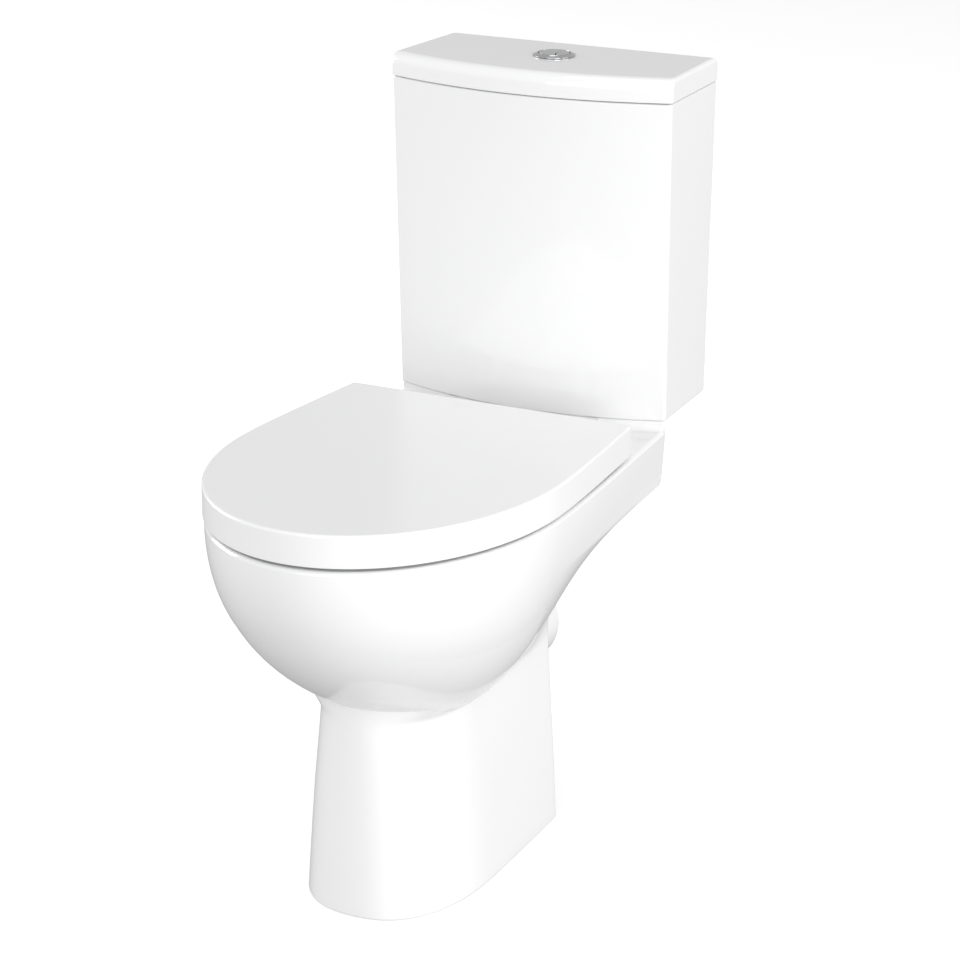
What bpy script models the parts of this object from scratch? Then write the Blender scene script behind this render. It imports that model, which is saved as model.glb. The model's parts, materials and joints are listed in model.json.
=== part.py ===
"""Close coupled toilet: washdown pan, cistern, dual flush valve, fill valve and wrap-over seat.

Metres, +Z up.  The wall is behind (+Y), the nose of the pan points to -Y, and the origin is on the
floor, midway between the back of the cistern and the nose of the seat.  A "reach" is a distance
from the wall towards the front, which is how a sanitary ware drawing gives its depths.
"""

import math

import bmesh
import bpy
from mathutils import Matrix, Vector

# ---------------------------------------------------------------- driving sizes: general
GAP = 0.0003                # air between two pieces that touch
FIT = 0.0008                # radial clearance of a pin, bolt or pipe in its hole

# ---------------------------------------------------------------- driving sizes: pan
OVERALL_REACH = 0.6535      # nose of the seat from the wall
RIM_HEIGHT = 0.414          # deck that the seat stands on
SHELF_RISE = 0.0102         # cistern shelf above the deck
PAN_HALF_WIDTH = 0.1728
PAN_WIDEST_REACH = 0.4213
PAN_NOSE_SETBACK = 0.0015   # nose of the pan behind the nose of the seat
BOWL_DEPTH_SIDE = 0.2386    # deck down to where the bowl's side would close
BOWL_DEPTH_NOSE = 0.2300
WING_SIDE_SETBACK = 0.00035 # rear corners of the pan inside the cistern's
WING_REAR_SETBACK = 0.0084  # rear face of the wings behind the cistern's front corners
WING_HEIGHT = 0.0596        # upright part of the wings under the deck
WING_FOOT_HALF_WIDTH = 0.0707   # wings where they grow out of the pedestal
WING_FOOT_RISE = 0.0297     # start of the wings above the pedestal's top
FOOT_HALF_WIDTH = 0.0896
FOOT_REAR_HALF_WIDTH = 0.0860
FOOT_WIDEST_REACH = 0.3874
FOOT_NOSE_REACH = 0.5276
FOOT_REAR_REACH = 0.2249
FOOT_LEAN = 0.064           # narrowing of the pedestal per metre of height
CHINA_WALL = 0.0125
DECK_THICKNESS = 0.020
BOWL_OPENING_HALF_WIDTH = 0.118
RIM_FRONT_WIDTH = 0.050
BOWL_REAR_REACH = 0.285
RIM_LIP_DEPTH = 0.028
SUMP_HALF_WIDTH = 0.036
SUMP_REACH = 0.428
SUMP_REAR_REACH = 0.362
SUMP_FALL = 0.110           # middle of the outlet down to the floor of the sump
TRAP_BORE_RADIUS = 0.037
TRAP_WALL = 0.010
TRAP_BEND_MARGIN = 0.015    # bend radius of the trap above its bore radius
HORN_WALL = 0.008
TRAP_LEG = 0.048            # straight fall from the weir to the bottom bend
SPIGOT_WALL = 0.014
SPIGOT_HEIGHT = 0.190
SPIGOT_REACH = 0.150
NUT_RECESS_DEPTH = 0.0185
GASKET_WIDTH = 0.0115
SHELF_HALF_WIDTH = 0.090
SHELF_REAR_REACH = 0.028

# ---------------------------------------------------------------- driving sizes: cistern
CISTERN_HALF_WIDTH_TOP = 0.15825
CISTERN_TAPER = 0.0029      # each side, from the top to the bottom of the front corners
CISTERN_REAR_TAPER = 0.0053 # each side, from the front to the rear corners
CISTERN_CORNER_REACH_TOP = 0.1344
CISTERN_FRONT_SLOPE = 0.012 # front corners at the bottom behind those at the top
CISTERN_BOW = 0.030         # how far the front stands forward of its corners
CISTERN_HEIGHT = 0.3375
CISTERN_WALL = 0.009
CISTERN_CORNER_RADIUS = 0.009
LID_HEIGHT = 0.0255
LID_OVERHANG = 0.001
LID_WALL = 0.008
LID_LIP_DEPTH = 0.010
VALVE_REACH = 0.075         # flush valve and buttons
COUPLING_HALF_SPACING = 0.075
COUPLING_BOLT_RADIUS = 0.004
FILL_REACH = 0.066
FILL_SIDE_CLEARANCE = 0.00945   # float cup to the side wall of the cistern

# ---------------------------------------------------------------- driving sizes: flush buttons
BUTTON_RADIUS = 0.0163
BEZEL_WIDTH = 0.0067        # width of the ring round the buttons
BEZEL_HEIGHT = 0.0030
SLEEVE_WALL = 0.0032
BUTTON_THICKNESS = 0.0055
BUTTON_TRAVEL = 0.006
BUTTON_SPLIT_X = 0.0035     # where the dividing curve crosses the middle
BUTTON_SPLIT_RADIUS = 0.020

# ---------------------------------------------------------------- driving sizes: valves
VALVE_TAIL_RADIUS = 0.0295
VALVE_TAIL_WALL = 0.0050
VALVE_FLANGE_WIDTH = 0.0105
BACKNUT_WALL = 0.0070
TOWER_STEP = 0.0050         # cage outside the radius of the valve's tail
TOWER_WALL = 0.0022
TOWER_HEIGHT = 0.120
NECK_RADIUS = 0.0225
HEAD_DROP = 0.0975          # top of the neck and base below the top of the cistern
OVERFLOW_RADIUS = 0.0130
VALVE_LIFT = 0.012
FILL_COLUMN_RADIUS = 0.0105
FILL_SHANK_RADIUS = 0.0095
FILL_HEAD_DROP = 0.0755     # fill valve head below the top of the cistern
FLOAT_RADIUS = 0.0225
FLOAT_HEIGHT = 0.058
FLOAT_RISE = 0.120          # lowest place of the float above the cistern's floor
FLOAT_ARM_LENGTH = 0.028

# ---------------------------------------------------------------- driving sizes: seat
COVER_OVERHANG = 0.0015     # cover outside the pan at its widest place
COVER_REAR_HALF_WIDTH = 0.1614
COVER_REAR_REACH = 0.2206
COVER_THICKNESS = 0.0050
COVER_DEPTH = 0.0322        # top of the cover down to the edge of its skirt
SEAT_LIFT = 0.0040          # gap between the deck and the skirt
RING_SETBACK = 0.0085       # ring inside the skirt
RING_THICKNESS = 0.0180
RING_OVERLAP = 0.010        # ring inside the pan's opening at the sides
RING_FRONT_OVERLAP = 0.012
RING_OPENING_REAR_REACH = 0.312
HINGE_SETBACK = 0.0176      # hinge axis behind the rear edge of the cover
HINGE_RISE = 0.016          # hinge axis above the deck
HINGE_HALF_SPACING = 0.0775
KNUCKLE_RADIUS = 0.0085
PIN_RADIUS = 0.003
LUG_WIDTH = 0.014
KNUCKLE_WIDTH = 0.0115
SEAT_BOLT_RADIUS = 0.004
BUFFER_RADIUS = 0.0075

# ---------------------------------------------------------------- fineness of the round shapes
TUBE_SIDES = 14
ROUND_SIDES = 24
SMOOTH_ANGLE = math.radians(40)

# ---------------------------------------------------------------- places that follow from the sizes
HALF_DEPTH = OVERALL_REACH / 2
CISTERN_HALF_WIDTH_BOTTOM = CISTERN_HALF_WIDTH_TOP - CISTERN_TAPER
CISTERN_HALF_WIDTH_REAR = CISTERN_HALF_WIDTH_TOP - CISTERN_REAR_TAPER
CISTERN_CORNER_REACH_BOTTOM = CISTERN_CORNER_REACH_TOP - CISTERN_FRONT_SLOPE
WING_HALF_WIDTH = CISTERN_HALF_WIDTH_BOTTOM - WING_SIDE_SETBACK
WING_REACH = CISTERN_CORNER_REACH_BOTTOM - WING_REAR_SETBACK
SPIGOT_RADIUS = TRAP_BORE_RADIUS + SPIGOT_WALL
TRAP_BEND_RADIUS = TRAP_BORE_RADIUS + TRAP_BEND_MARGIN
FILL_X = -(CISTERN_HALF_WIDTH_REAR - CISTERN_WALL - FLOAT_RADIUS - FILL_SIDE_CLEARANCE)
FILL_HEAD_RISE = CISTERN_HEIGHT - FILL_HEAD_DROP
VALVE_TAIL_BORE = VALVE_TAIL_RADIUS - VALVE_TAIL_WALL
TOWER_RADIUS = VALVE_TAIL_RADIUS + TOWER_STEP
NECK_HEIGHT = CISTERN_HEIGHT - HEAD_DROP - TOWER_HEIGHT
COVER_HALF_WIDTH = PAN_HALF_WIDTH + COVER_OVERHANG
RING_OPENING_HALF_WIDTH = BOWL_OPENING_HALF_WIDTH - RING_OVERLAP
RING_FRONT_WIDTH = RIM_FRONT_WIDTH + RING_FRONT_OVERLAP
HINGE_REACH = COVER_REAR_REACH - HINGE_SETBACK
BEZEL_RADIUS = BUTTON_RADIUS + BEZEL_WIDTH
VALVE_FLANGE_RADIUS = VALVE_TAIL_RADIUS + VALVE_FLANGE_WIDTH
SLEEVE_RADIUS = BUTTON_RADIUS + SLEEVE_WALL
BACKNUT_RADIUS = VALVE_TAIL_RADIUS + BACKNUT_WALL
NUT_RECESS_RADIUS = BACKNUT_RADIUS + GASKET_WIDTH
SHELF_HEIGHT = RIM_HEIGHT + SHELF_RISE
CISTERN_BOTTOM = SHELF_HEIGHT + GAP
CISTERN_FLOOR = CISTERN_BOTTOM + CISTERN_WALL + 0.001
CISTERN_TOP = CISTERN_BOTTOM + CISTERN_HEIGHT
LID_BOTTOM = CISTERN_TOP + GAP
LID_TOP = LID_BOTTOM + LID_HEIGHT
SEAT_BOTTOM = RIM_HEIGHT + SEAT_LIFT
COVER_TOP = SEAT_BOTTOM + COVER_DEPTH
RING_BOTTOM = SEAT_BOTTOM + 0.0005
RING_TOP = RING_BOTTOM + RING_THICKNESS
HINGE_HEIGHT = RIM_HEIGHT + HINGE_RISE
DECK_UNDERSIDE = RIM_HEIGHT - DECK_THICKNESS
SHELF_UNDERSIDE = SHELF_HEIGHT - DECK_THICKNESS
PAN_NOSE_REACH = OVERALL_REACH - PAN_NOSE_SETBACK
SUMP_FLOOR = SPIGOT_HEIGHT - SUMP_FALL
PEDESTAL_TOP = RIM_HEIGHT - BOWL_DEPTH_SIDE
RIM_LIP = RIM_HEIGHT - RIM_LIP_DEPTH
RECESS_FLOOR = SHELF_HEIGHT - NUT_RECESS_DEPTH
FLUSH_DUCT_TOP = SHELF_UNDERSIDE - 0.008
FLUSH_DUCT_BOTTOM = FLUSH_DUCT_TOP - 0.022

# ---------------------------------------------------------------- finishes: colour, roughness, metal
CHINA = ((0.86, 0.86, 0.86), 0.08, 0.0)
SEAT_PLASTIC = ((0.83, 0.83, 0.83), 0.18, 0.0)
VALVE_PLASTIC = ((0.78, 0.79, 0.78), 0.40, 0.0)
FLOAT_PLASTIC = ((0.30, 0.36, 0.42), 0.45, 0.0)
RED_PLASTIC = ((0.45, 0.05, 0.04), 0.40, 0.0)
RUBBER = ((0.03, 0.03, 0.03), 0.75, 0.0)
SOFT_WHITE = ((0.70, 0.70, 0.69), 0.60, 0.0)
CHROME = ((0.62, 0.63, 0.65), 0.08, 1.0)
STEEL = ((0.55, 0.55, 0.56), 0.28, 1.0)


# ================================================================ helpers
def clear_scene():
    """Start from an empty scene."""
    for obj in list(bpy.data.objects):
        bpy.data.objects.remove(obj, do_unlink=True)


def at(x, reach, z):
    """Point at a side offset, a distance from the wall and a height."""
    return Vector((x, HALF_DEPTH - reach, z))


def dress(obj, finish):
    """Give an object its own Principled material."""
    colour, roughness, metallic = finish
    material = bpy.data.materials.new(obj.name + "_finish")
    material.use_nodes = True
    shader = material.node_tree.nodes["Principled BSDF"]
    shader.inputs["Base Color"].default_value = (*colour, 1.0)
    shader.inputs["Roughness"].default_value = roughness
    shader.inputs["Metallic"].default_value = metallic
    material.diffuse_color = (*colour, 1.0)
    obj.data.materials.clear()
    obj.data.materials.append(material)


def finish_mesh(name, bm, finish=None):
    """Turn a bmesh into a named object with outward faces and smooth round sides."""
    bmesh.ops.remove_doubles(bm, verts=bm.verts, dist=1e-7)
    bmesh.ops.recalc_face_normals(bm, faces=bm.faces)
    mesh = bpy.data.meshes.new(name)
    bm.to_mesh(mesh)
    bm.free()
    mesh.shade_smooth()
    mesh.set_sharp_from_angle(angle=SMOOTH_ANGLE)
    obj = bpy.data.objects.new(name, mesh)
    bpy.context.scene.collection.objects.link(obj)
    if finish:
        dress(obj, finish)
    return obj


def loft(name, rings, finish=None):
    """Skin through rings of equal length, closed by a flat face at each end."""
    bm = bmesh.new()
    loops = [[bm.verts.new(point) for point in ring] for ring in rings]
    count = len(loops[0])
    for lower, upper in zip(loops, loops[1:]):
        for i in range(count):
            j = (i + 1) % count
            bm.faces.new((lower[i], lower[j], upper[j], upper[i]))
    bm.faces.new(list(reversed(loops[0])))
    bm.faces.new(loops[-1])
    return finish_mesh(name, bm, finish)


def slab(name, outline, bottom, top, finish=None):
    """Upright prism on a plan outline of (x, reach) pairs."""
    rings = [[at(x, reach, z) for x, reach in outline] for z in (bottom, top)]
    return loft(name, rings, finish)


def block(name, x_range, reach_range, z_range, finish=None):
    """Rectangular block."""
    outline = [(x_range[0], reach_range[1]), (x_range[1], reach_range[1]),
               (x_range[1], reach_range[0]), (x_range[0], reach_range[0])]
    return slab(name, outline, z_range[0], z_range[1], finish)


def turned(name, centre, profile, steps=20, finish=None, across=False):
    """Turn a closed (radius, height) profile about an upright axis, or about a level X axis."""
    bm = bmesh.new()
    points = [bm.verts.new((radius, 0.0, height)) for radius, height in profile]
    edges = [bm.edges.new((a, b)) for a, b in zip(points, points[1:] + points[:1])]
    on_axis = [e for e in edges if all(abs(v.co.x) < 1e-9 for v in e.verts)]
    bmesh.ops.delete(bm, geom=on_axis, context="EDGES_FACES")
    geometry = list(bm.verts) + list(bm.edges)
    bmesh.ops.spin(bm, geom=geometry, cent=(0, 0, 0), axis=(0, 0, 1),
                   angle=math.tau, steps=steps, use_merge=True)
    turn = Matrix.Rotation(math.pi / 2, 4, "Y") if across else Matrix.Identity(4)
    bmesh.ops.transform(bm, matrix=Matrix.Translation(centre) @ turn, verts=bm.verts)
    bmesh.ops.remove_doubles(bm, verts=bm.verts, dist=1e-6)
    return finish_mesh(name, bm, finish)


def rod(name, centre, radius, bottom, top, steps=14, finish=None, across=False):
    """Plain round bar from bottom to top, along X when it lies across."""
    return turned(name, centre, [(0, bottom), (radius, bottom), (radius, top), (0, top)],
                  steps, finish, across)


def pipe(name, centre, inner, outer, bottom, top, steps=16, finish=None):
    """Round bar with a hole along it."""
    return turned(name, centre, [(inner, bottom), (outer, bottom), (outer, top), (inner, top)],
                  steps, finish)


def combine(target, tool, operation):
    """Add, cut or keep with a hidden tool body, and leave the tool as a wire guide."""
    modifier = target.modifiers.new(operation.title() + " " + tool.name, "BOOLEAN")
    modifier.operation = operation
    modifier.solver = "EXACT"
    modifier.object = tool
    tool.hide_render = True
    tool.display_type = "WIRE"
    return target


def cut(target, *tools):
    """Cut each tool out of the target."""
    for tool in tools:
        combine(target, tool, "DIFFERENCE")
    return target


def fuse(target, *tools):
    """Join each tool to the target as one body."""
    for tool in tools:
        combine(target, tool, "UNION")
    return target


def axis_empty(name, location, parent=None):
    """Empty on a joint's axis, which carries the pieces that move on it."""
    empty = bpy.data.objects.new(name, None)
    empty.location = location
    bpy.context.scene.collection.objects.link(empty)
    if parent:
        carry(parent, empty)
    return empty


def carry(parent, *pieces):
    """Parent pieces to a joint's empty without moving them."""
    bpy.context.view_layer.update()
    for piece in pieces:
        piece.parent = parent
        piece.matrix_parent_inverse = parent.matrix_world.inverted()


def mix(a, b, share):
    """Value part of the way from a to b."""
    return a + (b - a) * share


def clamp(value):
    """Keep a share between 0 and 1."""
    return max(0.0, min(1.0, value))


def soft_max(a, b, blend):
    """Larger of two values, rounded where they cross, which makes a fillet."""
    return (a + b + math.sqrt((a - b) ** 2 + blend ** 2)) / 2


def dome(share, power, root):
    """Falls from 1 at the top of a bowl to 0 where it would close."""
    return (1 - clamp(share) ** power) ** (1 / root)


def mirrored(half):
    """Whole outline from its right half, listed from the nose round to the rear."""
    left = [(-x, reach) for x, reach in reversed(half) if x > 1e-9]
    return half + left


def front_curve(half_width, centre, nose, power, steps):
    """Quarter of a superellipse, from the nose round to the widest place."""
    points = []
    for i in range(steps):
        angle = math.pi / 2 * i / steps
        x = half_width * math.sin(angle) ** (2 / power)
        reach = centre + (nose - centre) * math.cos(angle) ** (2 / power)
        points.append((x, reach))
    return points


def side_curve(half_width, centre, rear_half, rear, steps):
    """Side of a plan outline, from the widest place back to the rear corner."""
    points = []
    softness = 0.3
    for i in range(steps):
        share = i / steps
        taper = (math.hypot(share, softness) - softness) / (math.hypot(1, softness) - softness)
        x = mix(half_width, rear_half, taper)
        points.append((x, mix(centre, rear, share)))
    return points


def corner(x, reach, radius, steps):
    """Rounded rear right corner of a plan outline."""
    points = []
    for i in range(steps + 1):
        angle = math.pi / 2 * i / steps
        points.append((x - radius + radius * math.cos(angle),
                       reach + radius - radius * math.sin(angle)))
    return points


# ================================================================ pan: outside
def foot_outline_sizes(z):
    """Half width, rear half width, nose and rear reach of the pedestal at a height."""
    lean = FOOT_LEAN * z + 0.10 * z * z
    return (FOOT_HALF_WIDTH - lean, FOOT_REAR_HALF_WIDTH - 0.8 * lean,
            FOOT_NOSE_REACH - 0.52 * lean, FOOT_REAR_REACH)


def bowl_half_width(z):
    """Half width of the bowl's outside at a height."""
    return PAN_HALF_WIDTH * dome((RIM_HEIGHT - z) / BOWL_DEPTH_SIDE, 2.1, 1.6)


def bowl_nose(z):
    """Reach of the bowl's nose at a height."""
    length = PAN_NOSE_REACH - PAN_WIDEST_REACH
    return PAN_WIDEST_REACH + length * dome((RIM_HEIGHT - z) / BOWL_DEPTH_NOSE, 2.3, 1.1)


def wing_share(z):
    """0 where the wings leave the pedestal, 1 at the foot of their upright part."""
    top = RIM_HEIGHT - WING_HEIGHT
    bottom = PEDESTAL_TOP + WING_FOOT_RISE
    return clamp((z - bottom) / (top - bottom))


def pan_outline(z, inset=0.0, rear=None):
    """Plan outline of the pan's outside at a height, as (x, reach) pairs."""
    blend = 0.010
    foot_half, foot_rear_half, foot_nose, foot_rear = foot_outline_sizes(z)
    half = soft_max(bowl_half_width(z), foot_half, blend)
    nose = soft_max(bowl_nose(z), foot_nose, blend)
    rise = clamp((z - PEDESTAL_TOP + 0.055) / 0.2)
    centre = mix(FOOT_WIDEST_REACH, PAN_WIDEST_REACH, rise)
    share = wing_share(z)
    wing_half = mix(WING_FOOT_HALF_WIDTH, WING_HALF_WIDTH - 0.003, share ** 1.91)
    rear_half = soft_max(wing_half, foot_rear_half, 0.006)
    upright = clamp((z - RIM_HEIGHT + 0.050) / 0.050)
    rear_half = rear_half + 0.003 * upright
    run = foot_rear - WING_REACH
    rear_reach = foot_rear - run * (0.584 * share ** 2.4 + 0.416 * share ** 12.4)
    power = mix(2.4, 2.0, clamp((z - PEDESTAL_TOP + 0.055) / 0.15))
    if rear is not None:
        rear_reach = rear - inset
    half, nose, rear_half = half - inset, nose - inset, rear_half - inset
    rear_reach += inset
    radius = 0.006
    points = front_curve(half, centre, nose, power, 12)
    points += side_curve(half, centre, rear_half, rear_reach + radius, 4)
    points += corner(rear_half, rear_reach, radius, 2)
    points.append((0.0, rear_reach))
    return mirrored(points)


def pan_ring(z, inset=0.0, rear=None, height=None):
    """Outline of the pan as points in space."""
    level = z if height is None else height
    return [at(x, reach, level) for x, reach in pan_outline(z, inset, rear)]


def pan_skin():
    """Pedestal, bowl and wings as one outside form."""
    rings = [pan_ring(0.0, 0.002), pan_ring(0.004)]
    rings += [pan_ring(PEDESTAL_TOP * share) for share in (0.3, 0.6, 0.85)]
    wing_foot = RIM_HEIGHT - WING_HEIGHT
    steps = 8
    rings += [pan_ring(mix(PEDESTAL_TOP, wing_foot - 0.028, i / steps)) for i in range(steps + 1)]
    rings += [pan_ring(wing_foot - drop) for drop in (0.018, 0.011, 0.006, 0.0025, 0.0)]
    edge = RIM_HEIGHT - 0.006
    rings += [pan_ring(mix(wing_foot, edge, share)) for share in (0.33, 0.67, 1.0)]
    rings += [pan_ring(RIM_HEIGHT, 0.0012, height=RIM_HEIGHT - 0.0015),
              pan_ring(RIM_HEIGHT, 0.0045)]
    return loft("pan", rings, CHINA)


# ================================================================ pan: inside
def bowl_ring(z, grow=0.0):
    """Inside of the bowl at a height, grown where the wall is wanted."""
    wall = CHINA_WALL
    half = soft_max(bowl_half_width(z) - wall, SUMP_HALF_WIDTH, 0.010) + grow
    nose = soft_max(bowl_nose(z) - wall, SUMP_REACH, 0.010) + grow
    depth = clamp((RIM_LIP - z) / (RIM_LIP - SUMP_FLOOR))
    rear = mix(BOWL_REAR_REACH - 0.023, SUMP_REAR_REACH, depth ** 0.5) - grow
    centre = mix(PAN_WIDEST_REACH, mix(SUMP_REAR_REACH, SUMP_REACH, 0.5), depth)
    return oval_ring(half, centre, nose, rear, z)


def oval_ring(half, centre, nose, rear, z):
    """Egg shaped ring, fuller towards the nose."""
    count = 22
    points = []
    for i in range(count):
        angle = math.tau * i / count
        length = nose - centre if math.cos(angle) > 0 else centre - rear
        side = abs(math.sin(angle)) ** (1.0 if math.cos(angle) > 0 else 0.8)
        x = math.copysign(half * side, math.sin(angle))
        points.append(at(x, centre + length * math.cos(angle), z))
    return points


def opening_ring(z, half, nose, rear):
    """Ring of the bowl's or the seat's opening."""
    return oval_ring(half, mix(rear, nose, 0.45), nose, rear, z)


def bowl_levels(grow):
    """Rings of the bowl from its sump up to the underside of the rim."""
    steps = 9
    sump = mix(SUMP_FLOOR, RIM_LIP, 0.04)
    rings = [bowl_ring(sump, grow - 0.008)]
    rings[0] = [point - Vector((0, 0, sump - SUMP_FLOOR + grow)) for point in rings[0]]
    rings += [bowl_ring(mix(sump, RIM_LIP, i / steps), grow) for i in range(steps + 1)]
    return rings


def bowl_cavity():
    """Hollow of the bowl, with the overhanging rim left standing."""
    rings = bowl_levels(0.0)
    nose = PAN_NOSE_REACH - RIM_FRONT_WIDTH
    for z in (RIM_LIP, RIM_HEIGHT + 0.01):
        rings.append(opening_ring(z, BOWL_OPENING_HALF_WIDTH, nose, BOWL_REAR_REACH))
    return loft("cutter_bowl", rings)


def trap_path():
    """Middle line of the trap, from the outlet over the weir and down to the sump."""
    bend = TRAP_BEND_RADIUS
    rise, fall, sump_rise = math.radians(55), math.radians(-75), math.radians(10)
    legs = [(0.006, rise), (0.0, fall), (TRAP_LEG, sump_rise), (0.030, sump_rise)]
    reach, z, heading = SPIGOT_REACH, SPIGOT_HEIGHT, 0.0
    path = [(reach, z)]
    for straight, target in legs:
        if straight:
            reach += straight * math.cos(heading)
            z += straight * math.sin(heading)
            path.append((reach, z))
        turn = target - heading
        steps = math.ceil(abs(turn) / math.radians(17))
        for _ in range(steps):
            chord = 2 * bend * math.sin(abs(turn) / steps / 2)
            middle = heading + turn / steps / 2
            reach += chord * math.cos(middle)
            z += chord * math.sin(middle)
            heading += turn / steps
            path.append((reach, z))
    return path


def trap_tube(name, radius, overrun=0.0):
    """Round tube along the trap's middle line, run on past the outlet by the overrun."""
    path = trap_path()
    if overrun:
        path.insert(0, (SPIGOT_REACH - overrun, SPIGOT_HEIGHT))
    rings = []
    for i, (reach, z) in enumerate(path):
        before, after = path[max(i - 1, 0)], path[min(i + 1, len(path) - 1)]
        along = Vector((0, before[0] - after[0], after[1] - before[1])).normalized()
        across = Vector((1, 0, 0))
        upward = across.cross(along)
        ring = []
        for k in range(TUBE_SIDES):
            angle = math.tau * k / TUBE_SIDES
            ring.append(at(0, reach, z) + radius * (math.cos(angle) * across
                                                    + math.sin(angle) * upward))
        rings.append(ring)
    return loft(name, rings)


def level_tube(name, radius, z, reach_range):
    """Round body lying from front to back."""
    rings = []
    for reach in reach_range:
        rings.append([at(radius * math.cos(math.tau * k / ROUND_SIDES), reach,
                         z + radius * math.sin(math.tau * k / ROUND_SIDES))
                      for k in range(ROUND_SIDES)])
    return loft(name, rings)


def pedestal_hollow():
    """Open space inside the pedestal, reached from the floor and from behind."""
    rear = FOOT_REAR_REACH - 0.06
    levels = [-0.01] + [(PEDESTAL_TOP + 0.015) * share for share in (0.0, 0.3, 0.6, 0.85, 1.0)]
    rings = [pan_ring(max(z, 0.0), CHINA_WALL, rear, height=z) for z in levels]
    return loft("cutter_pedestal", rings)


def rear_hollow():
    """Open space behind the bowl and under the deck, where the bolts' nuts are."""
    bottom = PEDESTAL_TOP + 0.010
    rear = WING_REACH - 0.02
    steps = 7
    rings = []
    for i in range(steps + 1):
        z = mix(bottom, DECK_UNDERSIDE, i / steps)
        rings.append(pan_ring(z, CHINA_WALL + 0.001, rear))
    hollow = loft("cutter_rear", rings)
    front_limit = block("cutter_rear_limit", (-0.5, 0.5), (BOWL_REAR_REACH + 0.017, 1.5),
                        (0.0, 1.0))
    return cut(hollow, front_limit)


def coupling_holes():
    """Holes of the two bolts that clamp the cistern to the shelf."""
    holes = []
    for side in (-1, 1):
        centre = at(side * COUPLING_HALF_SPACING, VALVE_REACH, 0)
        holes.append(rod("cutter_shelf_bolt_" + side_name(side), centre,
                         COUPLING_BOLT_RADIUS + FIT, SHELF_UNDERSIDE - 0.01, SHELF_HEIGHT + 0.01))
    return holes


def seat_bolt_holes():
    """Holes of the two seat bolts in the deck."""
    holes = []
    for side in (-1, 1):
        centre = at(side * HINGE_HALF_SPACING, HINGE_REACH, 0)
        holes.append(rod("cutter_seat_bolt_" + side_name(side), centre,
                         SEAT_BOLT_RADIUS + 0.002, DECK_UNDERSIDE - 0.01, RIM_HEIGHT + 0.004))
    return holes


def side_name(side):
    """Left is -X, seen from the front of the toilet."""
    return "left" if side < 0 else "right"


def shelf_outline():
    """Raised shelf, whose front follows the bow of the cistern."""
    setback = 0.0008
    return bowed_outline(CISTERN_HALF_WIDTH_BOTTOM - setback, CISTERN_HALF_WIDTH_BOTTOM - 0.002,
                         CISTERN_CORNER_REACH_BOTTOM - setback, WING_REACH + 0.001, 0.003, 0.003)


def flush_way():
    """Stepped recess for the nut and the valve's tail, and the duct forward to the bowl."""
    inlet_radius = VALVE_TAIL_RADIUS + 2 * FIT
    top = SHELF_HEIGHT + 0.01
    well = turned("cutter_flush_well", at(0, VALVE_REACH, 0),
                  [(0, FLUSH_DUCT_BOTTOM), (inlet_radius, FLUSH_DUCT_BOTTOM), (inlet_radius, RECESS_FLOOR),
                   (NUT_RECESS_RADIUS, RECESS_FLOOR), (NUT_RECESS_RADIUS, top), (0, top)], 32)
    duct = block("cutter_flush_duct", (-0.025, 0.025), (VALVE_REACH - 0.004, BOWL_REAR_REACH - 0.009),
                 (FLUSH_DUCT_BOTTOM + 0.001, FLUSH_DUCT_TOP))
    return well, duct


def make_pan():
    """Vitreous china pan: pedestal, bowl, rim, trap, flush horn and cistern shelf."""
    pan = pan_skin()
    cut(pan, pedestal_hollow(), rear_hollow())
    fuse(pan, loft("body_bowl", bowl_levels(CHINA_WALL - 0.001)),
         trap_tube("body_trap", TRAP_BORE_RADIUS + TRAP_WALL),
         level_tube("body_spigot", SPIGOT_RADIUS, SPIGOT_HEIGHT,
                    (SPIGOT_REACH + 0.034, SPIGOT_REACH)))
    horn = NUT_RECESS_RADIUS + HORN_WALL
    fuse(pan, slab("body_shelf_front", shelf_outline(), RIM_HEIGHT - 0.006, SHELF_HEIGHT),
         slab("body_shelf", shelf_rear_outline(), SHELF_UNDERSIDE, SHELF_HEIGHT),
         block("body_flush_horn", (-horn, horn), (VALVE_REACH - horn, VALVE_REACH + horn),
               (FLUSH_DUCT_BOTTOM - 0.010, SHELF_UNDERSIDE + 0.004)),
         block("body_flush_duct", (-0.041, 0.041), (VALVE_REACH + 0.03, BOWL_REAR_REACH - 0.010),
               (FLUSH_DUCT_BOTTOM - 0.010, DECK_UNDERSIDE + 0.004)))
    cut(pan, bowl_cavity(), trap_tube("cutter_trap", TRAP_BORE_RADIUS, 0.01), *flush_way())
    cut(pan, *coupling_holes(), *seat_bolt_holes())
    return pan


def shelf_rear_outline():
    """Narrow rear part of the shelf, under the middle of the cistern."""
    half = [(0.0, WING_REACH + 0.03), (SHELF_HALF_WIDTH, WING_REACH + 0.03)]
    half += corner(SHELF_HALF_WIDTH, SHELF_REAR_REACH, 0.018, 4)
    half.append((0.0, SHELF_REAR_REACH))
    return mirrored(half)


# ================================================================ cistern and its lid
def bowed_outline(front_half, rear_half, corner_reach, rear, front_radius, rear_radius):
    """Plan outline with a bowed front, nearly straight sides and a flat rear."""
    steps = 8
    points = []
    usable = front_half - front_radius
    for i in range(steps + 1):
        x = usable * i / steps
        points.append((x, corner_reach + CISTERN_BOW * (1 - (x / front_half) ** 2)))
    turn = 3
    for i in range(1, turn + 1):
        angle = math.pi / 2 * i / turn
        x = front_half - front_radius + front_radius * math.sin(angle)
        reach = points[steps][1] - front_radius * (1 - math.cos(angle))
        points.append((x, reach))
    points += corner(rear_half, rear, rear_radius, 2)
    points.append((0.0, rear))
    return mirrored(points)


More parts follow.
